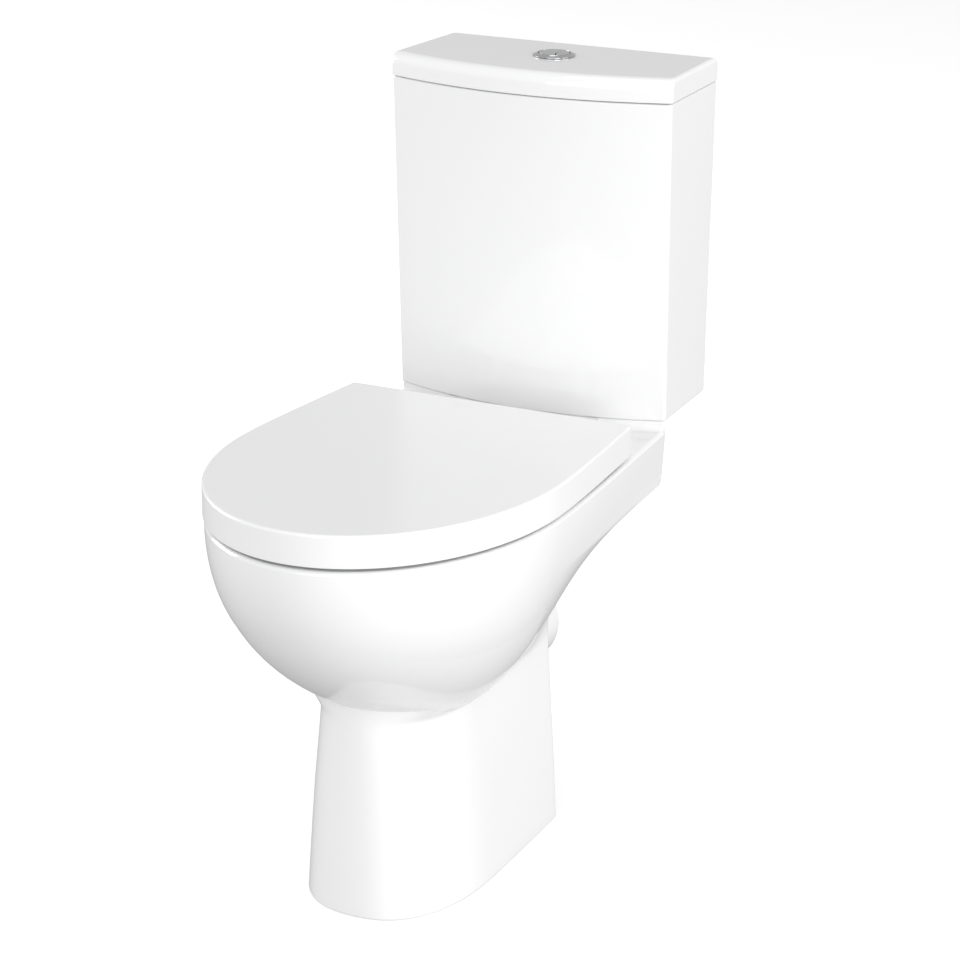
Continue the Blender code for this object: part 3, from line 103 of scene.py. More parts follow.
# ================================================================ numbers
def mix(a: float, b: float, share: float) -> float:
    """Value part of the way from a to b."""
    return a + (b - a) * share


def clamp(value: float) -> float:
    """Keep a share between 0 and 1."""
    return max(0.0, min(1.0, value))


def soft_max(a: float, b: float, blend: float) -> float:
    """Larger of two values, rounded where they cross, which makes a fillet."""
    return (a + b + math.hypot(a - b, blend)) / 2


def dome(share: float, power: float, root: float) -> float:
    """Falls from 1 at the top of a bowl to 0 where it would close."""
    return (1 - clamp(share) ** power) ** (1 / root)


# ================================================================ places
WALL_Y = CAD_BOX[1].y


def at(x: float, reach: float, z: float) -> Vector:
    """Point at a side offset, a distance from the wall and a height.

    Args:
        x: side offset, + to the right.
        reach: distance from the wall.
        z: height above the floor.

    Returns:
        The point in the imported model's frame.
    """
    return Vector((x, WALL_Y - reach, z))


def reach_of(y: float) -> float:
    """Distance from the wall of a Y coordinate."""
    return WALL_Y - y


# ================================================================ modelling by operators
def select_only(*pieces: Piece) -> None:
    """Deselect everything, then select the pieces and make the first one active."""
    if bpy.context.mode != "OBJECT":
        bpy.ops.object.mode_set(mode="OBJECT")
    bpy.ops.object.select_all(action="DESELECT")
    for piece in pieces:
        piece.select_set(True)
    if pieces:
        bpy.context.view_layer.objects.active = pieces[0]


@contextmanager
def editing(piece: Piece, select: str = "VERT") -> Iterator[bmesh.types.BMesh]:
    """Edit mode on one piece, with nothing selected.

    Args:
        piece: the piece to edit.
        select: VERT, EDGE or FACE select mode.

    Yields:
        The piece's mesh while it is edited.
    """
    select_only(piece)
    bpy.ops.object.mode_set(mode="EDIT")
    bpy.ops.mesh.select_mode(type=select)
    bpy.ops.mesh.select_all(action="DESELECT")
    yield bmesh.from_edit_mesh(piece.data)
    bmesh.update_edit_mesh(piece.data)
    bpy.ops.object.mode_set(mode="OBJECT")


def settle(piece: Piece) -> Piece:
    """Put a piece's place into its mesh, so that its object sits at the origin."""
    select_only(piece)
    bpy.ops.object.transform_apply(location=True, rotation=True, scale=True)
    return piece


def drum(name: str, sides: int, levels: int) -> Piece:
    """Open drum of unit radius whose levels stand one unit apart, extruded ring by ring.

    Args:
        name: name of the new object.
        sides: points round the drum.
        levels: rings from bottom to top.

    Returns:
        The drum, which loft() then shapes.
    """
    select_only()
    bpy.ops.mesh.primitive_circle_add(vertices=sides, radius=1.0, location=(0, 0, 0))
    piece = bpy.context.active_object
    piece.name = piece.data.name = name
    with editing(piece, "EDGE"):
        bpy.ops.mesh.select_all(action="SELECT")
        for _ in range(levels - 1):
            bpy.ops.mesh.extrude_region_move(TRANSFORM_OT_translate={"value": (0, 0, 1)})
    return piece


def loft(name: str, rings: Sequence[Ring]) -> Piece:
    """Skin through rings of equal length, closed by a flat face at each end.

    Args:
        name: name of the new object.
        rings: rings from bottom to top.

    Returns:
        One closed body.
    """
    sides, top = len(rings[0]), len(rings) - 1
    piece = drum(name, sides, len(rings))
    ends: dict[int, list[int]] = {0: [], top: []}
    for vertex in piece.data.vertices:
        level = round(vertex.co.z)
        turn = round(math.atan2(-vertex.co.x, vertex.co.y) / math.tau * sides) % sides
        if level in ends:
            ends[level].append(vertex.index)
        vertex.co = rings[level][turn]
    for indices in ends.values():
        with editing(piece) as mesh:
            mesh.verts.ensure_lookup_table()
            for index in indices:
                mesh.verts[index].select = True
            mesh.select_flush_mode()
            bpy.ops.mesh.edge_face_add()
    with editing(piece, "FACE"):
        bpy.ops.mesh.select_all(action="SELECT")
        bpy.ops.mesh.normals_make_consistent(inside=False)
    return piece


def combine(target: Piece, how: Cut, *tools: Piece) -> Piece:
    """Cut, join or keep with each tool, which is used up.

    Args:
        target: the piece that stays.
        how: what each tool does to it.
        tools: closed bodies.

    Returns:
        The target.
    """
    for tool in tools:
        select_only(target)
        bpy.ops.object.modifier_add(type="BOOLEAN")
        modifier = target.modifiers[-1]
        modifier.operation = how.value
        modifier.solver = "EXACT"
        modifier.object = tool
        bpy.ops.object.modifier_apply(modifier=modifier.name)
        bpy.data.objects.remove(tool, do_unlink=True)
    return target


def turned(name: str, centre: Vector, profile: Outline, steps: int = 64,
           across: bool = False) -> Piece:
    """Turn a closed (radius, height) profile about an upright axis, or about a level X axis.

    Args:
        name: name of the new object.
        centre: foot of the axis.
        profile: outline of half the section, listed round.
        steps: sides of the turned piece.
        across: lie the axis along X.

    Returns:
        One closed body.
    """
    select_only()
    bpy.ops.mesh.primitive_circle_add(vertices=len(profile), radius=1.0, location=(0, 0, 0))
    piece = bpy.context.active_object
    piece.name = piece.data.name = name
    for vertex in piece.data.vertices:
        turn = round(math.atan2(-vertex.co.x, vertex.co.y) / math.tau * len(profile)) % len(profile)
        radius, height = profile[turn]
        vertex.co = (radius, 0.0, height)
    with editing(piece, "EDGE") as mesh:
        for edge in mesh.edges:
            edge.select = all(abs(v.co.x) < 1e-9 for v in edge.verts)
        bpy.ops.mesh.delete(type="EDGE")
        bpy.ops.mesh.select_all(action="SELECT")
        bpy.ops.mesh.spin(steps=steps, angle=math.tau, center=(0, 0, 0), axis=(0, 0, 1))
        bpy.ops.mesh.select_all(action="SELECT")
        bpy.ops.mesh.remove_doubles(threshold=1e-6)
        bpy.ops.mesh.normals_make_consistent(inside=False)
    turn_over = Matrix.Rotation(math.pi / 2, 4, "Y") if across else Matrix.Identity(4)
    piece.matrix_world = Matrix.Translation(centre) @ turn_over
    return settle(piece)


def rounded_profile(inner: float, outer: float, low: float, high: float,
                    round_off: float) -> Outline:
    """Section of a ring or disc whose outer edges are rounded.

    Args:
        inner: bore radius, or 0 for a disc.
        outer: outside radius.
        low: lower face.
        high: upper face.
        round_off: radius of both outer edges.

    Returns:
        The section's outline as (radius, height) pairs.
    """
    points = [(inner, low)]
    x = outer - round_off
    for z, start in ((low + round_off, -90), (high - round_off, 0)):
        for step in range(4):
            angle = math.radians(start + 30 * step)
            points.append((x + round_off * math.cos(angle), z + round_off * math.sin(angle)))
    return points + [(inner, high)]


def plain_block(name: str, low: Vector, high: Vector, round_off: float = 0.0) -> Piece:
    """Block between two corners, with its edges rounded by a bevel.

    Args:
        name: name of the new object.
        low: lowest corner.
        high: highest corner.
        round_off: radius of all its edges.

    Returns:
        The block.
    """
    select_only()
    bpy.ops.mesh.primitive_cube_add(size=1.0, location=(low + high) / 2)
    piece = bpy.context.active_object
    piece.name = piece.data.name = name
    piece.scale = high - low
    settle(piece)
    if round_off:
        with editing(piece, "EDGE"):
            bpy.ops.mesh.select_all(action="SELECT")
            bpy.ops.mesh.bevel(offset=round_off, segments=4, affect="EDGES")
    return piece


def smooth(piece: Piece, angle: float = 34.0) -> Piece:
    """Shade a piece smooth up to an angle, with flat faces kept flat."""
    select_only(piece)
    bpy.ops.object.shade_smooth_by_angle(angle=math.radians(angle))
    bpy.ops.object.modifier_add(type="WEIGHTED_NORMAL")
    modifier = piece.modifiers[-1]
    modifier.keep_sharp = True
    bpy.ops.object.modifier_apply(modifier=modifier.name)
    return piece


# ================================================================ finishes
@dataclass(frozen=True)
class Finish:
    """A finish whose tint, gloss and surface drift a little over the piece, as real ones do."""

    name: str
    colour: tuple[float, float, float]
    second: tuple[float, float, float]      # colour that the first one drifts to
    gloss: tuple[float, float]              # lowest and highest roughness
    drift: float                            # patches per metre
    grain: float                            # bumps per metre
    grain_depth: float                      # metres
    metallic: float = 0.0
    coat: float = 0.0
    coat_roughness: float = 0.03
    ior: float = 1.5
    subsurface: float = 0.0
    stretch: tuple[float, float, float] = (1.0, 1.0, 1.0)   # grain squeezed along these axes

    def material(self) -> bpy.types.Material:
        """Node material of this finish, made once.

        Returns:
            The material.
        """
        made = bpy.data.materials.get(self.name)
        if made:
            return made
        made = bpy.data.materials.new(self.name)
        made.use_nodes = True
        self.wire(made.node_tree)
        return made

    def wire(self, tree: bpy.types.NodeTree) -> None:
        """Connect the drift of tint and gloss and the grain to the shader."""
        shader = tree.nodes["Principled BSDF"]
        shader.inputs["Metallic"].default_value = self.metallic
        shader.inputs["IOR"].default_value = self.ior
        shader.inputs["Coat Weight"].default_value = self.coat
        shader.inputs["Coat Roughness"].default_value = self.coat_roughness
        if self.subsurface:
            shader.inputs["Subsurface Weight"].default_value = self.subsurface
            shader.inputs["Subsurface Scale"].default_value = 0.004
        place = tree.nodes.new("ShaderNodeTexCoord")
        patches = tree.nodes.new("ShaderNodeTexNoise")
        patches.inputs["Scale"].default_value = self.drift
        patches.inputs["Detail"].default_value = 3.0
        tree.links.new(place.outputs["Object"], patches.inputs["Vector"])
        tint = tree.nodes.new("ShaderNodeMix")
        tint.data_type = "RGBA"
        tint.inputs[6].default_value = (*self.colour, 1.0)
        tint.inputs[7].default_value = (*self.second, 1.0)
        tree.links.new(patches.outputs["Fac"], tint.inputs[0])
        tree.links.new(self.tinted(tree, place, tint.outputs[2]), shader.inputs["Base Color"])
        sheen = tree.nodes.new("ShaderNodeMapRange")
        sheen.inputs["From Min"].default_value = 0.3
        sheen.inputs["From Max"].default_value = 0.7
        sheen.inputs["To Min"].default_value = self.gloss[0]
        sheen.inputs["To Max"].default_value = self.gloss[1]
        tree.links.new(patches.outputs["Fac"], sheen.inputs["Value"])
        tree.links.new(self.dulled(tree, place, sheen.outputs["Result"]),
                       shader.inputs["Roughness"])
        squeeze = tree.nodes.new("ShaderNodeMapping")
        squeeze.inputs["Scale"].default_value = self.stretch
        tree.links.new(place.outputs["Object"], squeeze.inputs["Vector"])
        grain = tree.nodes.new("ShaderNodeTexNoise")
        grain.inputs["Scale"].default_value = self.grain
        grain.inputs["Detail"].default_value = 2.0
        tree.links.new(squeeze.outputs["Vector"], grain.inputs["Vector"])
        bump = tree.nodes.new("ShaderNodeBump")
        bump.inputs["Distance"].default_value = self.grain_depth
        bump.inputs["Strength"].default_value = 1.0
        tree.links.new(grain.outputs["Fac"], bump.inputs["Height"])
        tree.links.new(bump.outputs["Normal"], shader.inputs["Normal"])

    def tinted(self, tree: bpy.types.NodeTree, place: bpy.types.Node,
               colour: bpy.types.NodeSocket) -> bpy.types.NodeSocket:
        """Colour after what is special to the finish."""
        return colour

    def dulled(self, tree: bpy.types.NodeTree, place: bpy.types.Node,
               roughness: bpy.types.NodeSocket) -> bpy.types.NodeSocket:
        """Roughness after what is special to the finish."""
        return roughness

    def dress(self, piece: Piece) -> Piece:
        """Give a piece this finish alone."""
        piece.data.materials.clear()
        piece.data.materials.append(self.material())
        return piece


@dataclass(frozen=True)
class Glaze(Finish):
    """Vitreous china glaze, which is left off where the piece stands on the floor."""

    biscuit: tuple[float, float, float] = (0.70, 0.66, 0.60)
    bare_below: float = 0.0012              # height of the unglazed foot

    def bare(self, tree: bpy.types.NodeTree, place: bpy.types.Node) -> bpy.types.NodeSocket:
        """1 on the unglazed foot and 0 above it.

        Args:
            tree: the material's nodes.
            place: its coordinates.

        Returns:
            Socket with the share of bare china.
        """
        split = tree.nodes.new("ShaderNodeSeparateXYZ")
        tree.links.new(place.outputs["Object"], split.inputs["Vector"])
        edge = tree.nodes.new("ShaderNodeMapRange")
        edge.inputs["From Min"].default_value = self.bare_below
        edge.inputs["From Max"].default_value = self.bare_below * 0.5
        tree.links.new(split.outputs["Z"], edge.inputs["Value"])
        return edge.outputs["Result"]

    def tinted(self, tree: bpy.types.NodeTree, place: bpy.types.Node,
               colour: bpy.types.NodeSocket) -> bpy.types.NodeSocket:
        """Biscuit colour on the bare foot."""
        choose = tree.nodes.new("ShaderNodeMix")
        choose.data_type = "RGBA"
        choose.inputs[7].default_value = (*self.biscuit, 1.0)
        tree.links.new(colour, choose.inputs[6])
        tree.links.new(self.bare(tree, place), choose.inputs[0])
        return choose.outputs[2]

    def dulled(self, tree: bpy.types.NodeTree, place: bpy.types.Node,
               roughness: bpy.types.NodeSocket) -> bpy.types.NodeSocket:
        """Rough bare foot."""
        choose = tree.nodes.new("ShaderNodeMix")
        choose.inputs[3].default_value = 0.85
        tree.links.new(roughness, choose.inputs[2])
        tree.links.new(self.bare(tree, place), choose.inputs[0])
        return choose.outputs[0]


CHINA = Glaze("white_glaze", (0.885, 0.885, 0.885), (0.865, 0.867, 0.868), (0.018, 0.038),
              drift=9.0, grain=30.0, grain_depth=0.00003, coat=0.30, coat_roughness=0.015)
SEAT_PLASTIC = Finish("gloss_seat", (0.875, 0.875, 0.875), (0.855, 0.857, 0.858), (0.20, 0.26),
                      drift=14.0, grain=260.0, grain_depth=0.000012)
CHROME = Finish("polished_chrome", (0.60, 0.605, 0.615), (0.55, 0.555, 0.57), (0.03, 0.08),
                drift=90.0, grain=420.0, grain_depth=0.000004, metallic=1.0)
STEEL = Finish("stainless_steel", (0.56, 0.56, 0.57), (0.47, 0.47, 0.48), (0.20, 0.36),
               drift=120.0, grain=2600.0, grain_depth=0.000010, metallic=1.0,
               stretch=(1.0, 1.0, 0.04))
VALVE_PLASTIC = Finish("natural_plastic", (0.79, 0.80, 0.78), (0.74, 0.75, 0.74), (0.34, 0.46),
                       drift=40.0, grain=900.0, grain_depth=0.00003)
GREY_PLASTIC = Finish("grey_blue_plastic", (0.29, 0.35, 0.42), (0.25, 0.31, 0.38), (0.38, 0.52),
                      drift=40.0, grain=900.0, grain_depth=0.00003)
RED_PLASTIC = Finish("red_plastic", (0.46, 0.045, 0.035), (0.40, 0.035, 0.03), (0.34, 0.46),
                     drift=50.0, grain=900.0, grain_depth=0.00003)
RUBBER = Finish("black_rubber", (0.030, 0.030, 0.031), (0.045, 0.045, 0.046), (0.60, 0.82),
                drift=60.0, grain=1400.0, grain_depth=0.00005)
NYLON = Finish("white_nylon", (0.74, 0.74, 0.72), (0.69, 0.69, 0.67), (0.42, 0.58),
               drift=80.0, grain=1200.0, grain_depth=0.00003, subsurface=0.25)


# ================================================================ outlines in plan
def mirrored(half: Outline) -> Outline:
    """Whole outline from its right half, listed from the nose round to the rear."""
    left = [(-x, reach) for x, reach in reversed(half) if x > 1e-9]
    return half + left


def front_curve(half_width: float, centre: float, nose: float, power: float, steps: int) -> Outline:
    """Quarter of a superellipse, from the nose round to the widest place."""
    points = []
    for i in range(steps):
        angle = math.pi / 2 * i / steps
        x = half_width * math.sin(angle) ** (2 / power)
        points.append((x, centre + (nose - centre) * math.cos(angle) ** (2 / power)))
    return points


def side_curve(half_width: float, centre: float, rear_half: float, rear: float,
               steps: int) -> Outline:
    """Side of a plan outline, from the widest place back to the rear corner."""
    softness = 0.3
    points = []
    for i in range(steps):
        share = i / steps
        taper = (math.hypot(share, softness) - softness) / (math.hypot(1, softness) - softness)
        points.append((mix(half_width, rear_half, taper), mix(centre, rear, share)))
    return points


def corner(x: float, reach: float, radius: float, steps: int) -> Outline:
    """Rounded rear right corner of a plan outline."""
    points = []
    for i in range(steps + 1):
        angle = math.pi / 2 * i / steps
        points.append((x - radius * (1 - math.cos(angle)), reach + radius * (1 - math.sin(angle))))
    return points


def rear_edge(x: float, reach: float, steps: int) -> Outline:
    """Straight rear edge, from near the corner to the middle."""
    return [(x * (1 - i / steps), reach) for i in range(1, steps + 1)]


def raised(outline: Outline, z: float) -> Ring:
    """Plan outline as points in space."""
    return [at(x, reach, z) for x, reach in outline]


def oval(half: float, centre: float, nose: float, rear: float, sides: int = 96) -> Outline:
    """Egg shaped outline, fuller towards the rear.

    Args:
        half: half its width.
        centre: reach of its widest place.
        nose: reach of its nose.
        rear: reach of its rear.
        sides: points in all.

    Returns:
        The outline.
    """
    points = []
    for i in range(sides):
        angle = math.tau * i / sides
        towards_nose = math.cos(angle) > 0
        length = nose - centre if towards_nose else centre - rear
        side = half * abs(math.sin(angle)) ** (1.0 if towards_nose else 0.86)
        points.append((math.copysign(side, math.sin(angle)), centre + length * math.cos(angle)))
    return points


def quarter_round(radius: float, steps: int = 6) -> list[tuple[float, float]]:
    """(inset, drop) pairs of a rounded edge, from the upright side up to the level top."""
    pairs = []
    for i in range(steps + 1):
        angle = math.pi / 2 * i / steps
        pairs.append((radius * (1 - math.cos(angle)), radius * (1 - math.sin(angle))))
    return pairs


# ================================================================ pan
@dataclass
class Pan:
    """Vitreous china pan: pedestal, bowl, wings, rim, trap, flush horn and cistern shelf."""

    rim_height: float = 0.414
    shelf_height: float = field(default_factory=lambda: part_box("pan")[1].z)
    half_width: float = field(default_factory=lambda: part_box("pan")[1].x)
    nose_reach: float = field(default_factory=lambda: reach_of(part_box("pan")[0].y))
    widest_reach: float = 0.4213
    bowl_depth_side: float = 0.2386
    bowl_depth_nose: float = 0.2300
    bowl_fall_side: tuple[float, float] = (2.1, 1.6)    # power and root of the side's dome
    bowl_fall_nose: tuple[float, float] = (2.3, 1.1)
    wing_half_width: float = 0.1550
    wing_reach: float = 0.1140
    wing_height: float = 0.0596
    wing_corner: float = 0.010              # rounding of the wing's lower rear corner
    neck_blend: float = 0.0060              # fillet between bowl and pedestal
    wing_foot_half_width: float = 0.0707
    wing_foot_rise: float = 0.0297
    wing_spread: float = 1.91               # power by which the wings widen upwards
    wing_sweep: tuple[float, float] = (2.4, 12.4)       # powers by which they run rearwards
    wing_sweep_share: float = 0.584         # part of the run that has the first power
    wing_draft: float = 0.003               # how far the deck's side leans out at the top
    foot_half_width: float = 0.0896
    foot_rear_half_width: float = 0.0860
    foot_widest_reach: float = 0.3874
    foot_nose_reach: float = 0.5276
    foot_rear_reach: float = 0.2249
    foot_lean: float = 0.064
    wall: float = 0.0125
    deck_thickness: float = 0.020
    edge_radius: float = 0.0045
    opening_half_width: float = 0.118
    rim_front_width: float = 0.050
    bowl_rear_reach: float = 0.285
    rim_lip_depth: float = 0.028
    rim_radius: float = 0.008
    sump_half_width: float = 0.036
    sump_reach: float = 0.428
    sump_rear_reach: float = 0.362
    sump_floor: float = 0.080
    sump_round: float = 0.012
    trap_bore: float = 0.037
    trap_wall: float = 0.010
    trap_bend: float = 0.052
    trap_leg: float = 0.048
    spigot_radius: float = 0.051
    spigot_height: float = 0.190
    spigot_reach: float = 0.150
    coupling_reach: float = 0.075
    coupling_half_spacing: float = 0.075
    horn_half_width: float = 0.056
    horn_drop: float = 0.040                # depth of the horn under the shelf
    duct_half_width: float = 0.041
    duct_bore_half_width: float = 0.025
    nut_recess_radius: float = 0.048
    nut_recess_depth: float = 0.0185
    inlet_radius: float = 0.0311
    shelf_half_width: float = 0.090
    shelf_rear_reach: float = 0.028
    shelf_fillet: float = 0.0065
    shelf_edge: float = 0.0018
    coupling_hole_radius: float = 0.0048
    seat_bolt_half_spacing: float = 0.0775
    seat_bolt_reach: float = 0.203
    seat_hole_radius: float = 0.0060

    @property
    def pedestal_top(self) -> float:
        """Height where the bowl's side would close."""
        return self.rim_height - self.bowl_depth_side

    @property
    def rim_lip(self) -> float:
        """Underside of the overhanging rim."""
        return self.rim_height - self.rim_lip_depth

    def foot_sizes(self, z: float) -> tuple[float, float, float]:
        """Half width, rear half width and nose reach of the pedestal at a height."""
        lean = self.foot_lean * z + 0.10 * z * z
        return (self.foot_half_width - lean, self.foot_rear_half_width - 0.8 * lean,
                self.foot_nose_reach - 0.52 * lean)

    def bowl_half(self, z: float) -> float:
        """Half width of the bowl's outside at a height."""
        share = (self.rim_height - z) / self.bowl_depth_side
        return self.half_width * dome(share, *self.bowl_fall_side)

    def bowl_nose(self, z: float) -> float:
        """Reach of the bowl's nose at a height."""
        share = (self.rim_height - z) / self.bowl_depth_nose
        length = self.nose_reach - self.widest_reach
        return self.widest_reach + length * dome(share, *self.bowl_fall_nose)

    def outline(self, z: float, inset: float = 0.0, rear: float | None = None) -> Outline:
        """Plan outline of the pan's outside.

        Args:
            z: height above the floor.
            inset: distance that the outline is moved inwards.
            rear: reach of the rear, where it isn't the pan's own.

        Returns:
            The outline.
        """
        foot_half, foot_rear_half, foot_nose = self.foot_sizes(z)
        half = soft_max(self.bowl_half(z), foot_half, self.neck_blend) - inset
        nose = soft_max(self.bowl_nose(z), foot_nose, self.neck_blend) - inset
        rise = z - self.pedestal_top + 0.055
        centre = mix(self.foot_widest_reach, self.widest_reach, clamp(rise / 0.2))
        power = mix(2.4, 2.0, clamp(rise / 0.15))
        wing_foot = self.rim_height - self.wing_height
        start = self.pedestal_top + self.wing_foot_rise
        rise_share = max(0.0, min(1.25, (z - start) / (wing_foot - start)))
        share = min(rise_share, 1.0)
        wing_half = mix(self.wing_foot_half_width, self.wing_half_width - self.wing_draft,
                        share ** self.wing_spread)
        upright = clamp((z - self.rim_height + 0.050) / 0.050)
        rear_half = soft_max(wing_half, foot_rear_half, 0.006) + self.wing_draft * upright - inset
        gentle, steep = self.wing_sweep
        sweep = (self.wing_sweep_share * rise_share ** gentle
                 + (1 - self.wing_sweep_share) * rise_share ** steep)
        own_rear = mix(self.foot_rear_reach, self.wing_reach, sweep)
        own_rear = soft_max(own_rear, self.wing_reach, self.wing_corner)
        rear_reach = own_rear + inset if rear is None else rear
        radius = 0.006
        points = front_curve(half, centre, nose, power, 40)
        points += side_curve(half, centre, rear_half, rear_reach + radius, 18)
        points += corner(rear_half, rear_reach, radius, 6)
        points += rear_edge(rear_half - radius, rear_reach, 8)
        return mirrored(points)

    def ring(self, z: float, inset: float = 0.0, rear: float | None = None,
             level: float | None = None) -> Ring:
        """Outline of the pan as points in space."""
        return raised(self.outline(z, inset, rear), z if level is None else level)

    def skin(self) -> Piece:
        """Pedestal, bowl and wings as one outside form."""
        foot_edge = 0.002
        rings = [self.ring(0.0, foot_edge), self.ring(foot_edge * 0.3, foot_edge * 0.3)]
        rings += [self.ring(mix(foot_edge, self.pedestal_top - 0.008, i / 14)) for i in range(15)]
        wing_foot = self.rim_height - self.wing_height
        neck, turn = self.pedestal_top - 0.004, wing_foot - 0.028
        rings += [self.ring(mix(neck, turn, i / 80)) for i in range(81)]
        rings += [self.ring(mix(turn, wing_foot, i / 16)) for i in range(1, 17)]
        edge = self.rim_height - self.edge_radius
        rings += [self.ring(mix(wing_foot, edge, i / 12)) for i in range(1, 13)]
        rings += [self.ring(self.rim_height, inset, level=self.rim_height - drop)
                  for inset, drop in quarter_round(self.edge_radius, 8)[1:]]
        return loft("toilet_pan", rings)

    def bowl_outline(self, z: float, grow: float) -> Outline:
        """Inside of the bowl at a height, grown where the wall is wanted."""
        half = soft_max(self.bowl_half(z) - self.wall, self.sump_half_width, 0.010) + grow
        nose = soft_max(self.bowl_nose(z) - self.wall, self.sump_reach, 0.010) + grow
        depth = clamp((self.rim_lip - z) / (self.rim_lip - self.sump_floor))
        rear = mix(self.bowl_rear_reach - 0.023, self.sump_rear_reach, depth ** 0.5) - grow
        centre = mix(self.widest_reach, mix(self.sump_rear_reach, self.sump_reach, 0.5), depth)
        return oval(half, centre, nose, rear)

    def bowl_rings(self, grow: float) -> list[Ring]:
        """Rings of the bowl, from its rounded sump up to the underside of the rim."""
        first = self.sump_floor + self.sump_round
        rings = [raised(self.bowl_outline(first, grow - inset), self.sump_floor + drop - grow)
                 for inset, drop in reversed(quarter_round(self.sump_round, 5))]
        rings += [raised(self.bowl_outline(mix(first, self.rim_lip, i / 30), grow),
                         mix(first - grow, self.rim_lip, i / 30)) for i in range(1, 31)]
        return rings

    def bowl_hollow(self) -> Piece:
        """Hollow of the bowl, whose mouth is rounded where it meets the deck."""
        rings = self.bowl_rings(0.0)
        nose = self.nose_reach - self.rim_front_width

        def mouth(grow: float, z: float) -> Ring:
            """Ring of the bowl's mouth."""
            rear = self.bowl_rear_reach - grow
            centre = mix(self.bowl_rear_reach, nose, 0.45)
            return raised(oval(self.opening_half_width + grow, centre, nose + grow, rear), z)

        lip, rounding = self.rim_lip, quarter_round(self.rim_radius, 8)[:-1]
        rings += [mouth(0.004, lip + 0.0002), mouth(0.0012, lip + 0.0012), mouth(0.0, lip + 0.004)]
        rings += [mouth(inset, self.rim_height - drop) for inset, drop in rounding]
        rings.append(mouth(self.rim_radius * 0.92, self.rim_height + 0.001))
        return loft("bowl_hollow", rings)

    def trap_line(self) -> Outline:
        """Middle line of the trap, from the outlet over the weir and down to the sump.

        Returns:
            (reach, height) pairs.
        """
        rise, fall, sump_rise = math.radians(55), math.radians(-75), math.radians(10)
        legs = [(0.006, rise), (0.0, fall), (self.trap_leg, sump_rise), (0.030, sump_rise)]
        reach, z, heading = self.spigot_reach, self.spigot_height, 0.0
        line = [(reach, z)]
        for straight, target in legs:
            if straight:
                reach += straight * math.cos(heading)
                z += straight * math.sin(heading)
                line.append((reach, z))
            turn = target - heading
            steps = math.ceil(abs(turn) / math.radians(8))
            for _ in range(steps):
                chord = 2 * self.trap_bend * math.sin(abs(turn) / steps / 2)
                middle = heading + turn / steps / 2
                reach += chord * math.cos(middle)
                z += chord * math.sin(middle)
                heading += turn / steps
                line.append((reach, z))
        return line

    def trap_tube(self, name: str, radius: float, overrun: float = 0.0) -> Piece:
        """Round tube along the trap's middle line, run on past the outlet by the overrun."""
        line = self.trap_line()
        if overrun:
            line.insert(0, (self.spigot_reach - overrun, self.spigot_height))
        rings = []
        sides = 48
        for i, (reach, z) in enumerate(line):
            before, after = line[max(i - 1, 0)], line[min(i + 1, len(line) - 1)]
            along = Vector((0, before[0] - after[0], after[1] - before[1])).normalized()
            across = Vector((1, 0, 0))
            upward = across.cross(along)
            rings.append([at(0, reach, z) + radius * (math.cos(math.tau * k / sides) * across
                                                      + math.sin(math.tau * k / sides) * upward)
                          for k in range(sides)])
        return loft(name, rings)

    def spigot(self) -> Piece:
        """Outlet spigot with a rounded end."""
        length = 0.034
        profile = rounded_profile(0.0, self.spigot_radius, 0.0, length, 0.003)
        piece = turned("outlet_spigot", Vector((0, 0, 0)), profile)
        start = at(0, self.spigot_reach + length, self.spigot_height)
        piece.matrix_world = Matrix.Translation(start) @ Matrix.Rotation(-math.pi / 2, 4, "X")
        return settle(piece)

    def pedestal_hollow(self) -> Piece:
        """Open space inside the pedestal, reached from the floor and from behind."""
        rear = self.foot_rear_reach - 0.06 + self.wall
        top = self.pedestal_top + 0.015
        levels = [-0.01] + [top * i / 8 for i in range(9)]
        return loft("pedestal_hollow",
                    [self.ring(max(z, 0.0), self.wall, rear, level=z) for z in levels])

    def rear_hollow(self) -> Piece:
        """Open space behind the bowl and under the deck, where the bolts' nuts are."""
        bottom, top = self.pedestal_top + 0.010, self.rim_height - self.deck_thickness
        rear = self.wing_reach - 0.02 + self.wall
        hollow = loft("rear_hollow", [self.ring(mix(bottom, top, i / 14), self.wall + 0.001, rear)
                                      for i in range(15)])
        limit = plain_block("rear_limit", at(-0.5, 1.5, 0.0),
                            at(0.5, self.bowl_rear_reach + 0.017, 1.0))
        return combine(hollow, Cut.AWAY, limit)

    def shelf_front(self) -> Piece:
        """Raised shelf, whose front follows the bow of the cistern."""
        outline_at = Cistern().shelf_outline
        fillet = self.shelf_fillet
        rings = [raised(outline_at(0.0, fillet), self.rim_height - 0.006)]
        rings += [raised(outline_at(0.0, flare), self.rim_height - 0.0001 + rise)
                  for rise, flare in quarter_round(fillet, 7)]
        rings += [raised(outline_at(inset, 0.0), self.shelf_height - drop)
                  for inset, drop in quarter_round(self.shelf_edge, 5)]
        return loft("cistern_shelf", rings)

    def shelf_rear(self) -> Piece:
        """Narrow rear part of the shelf, under the middle of the cistern."""
        def outline(inset: float) -> Outline:
            """Outline moved inwards by the inset."""
            half_width, rear = self.shelf_half_width - inset, self.shelf_rear_reach + inset
            half = [(0.0, self.wing_reach + 0.03), (half_width, self.wing_reach + 0.03)]
            return mirrored(half + corner(half_width, rear, 0.018, 10) + [(0.0, rear)])

        low, high = self.shelf_height - self.deck_thickness, self.shelf_height
        edge = quarter_round(0.003, 4)
        rings = [raised(outline(inset), low + drop) for inset, drop in reversed(edge)]
        rings += [raised(outline(inset), high - drop) for inset, drop in edge]
        return loft("cistern_shelf_rear", rings)

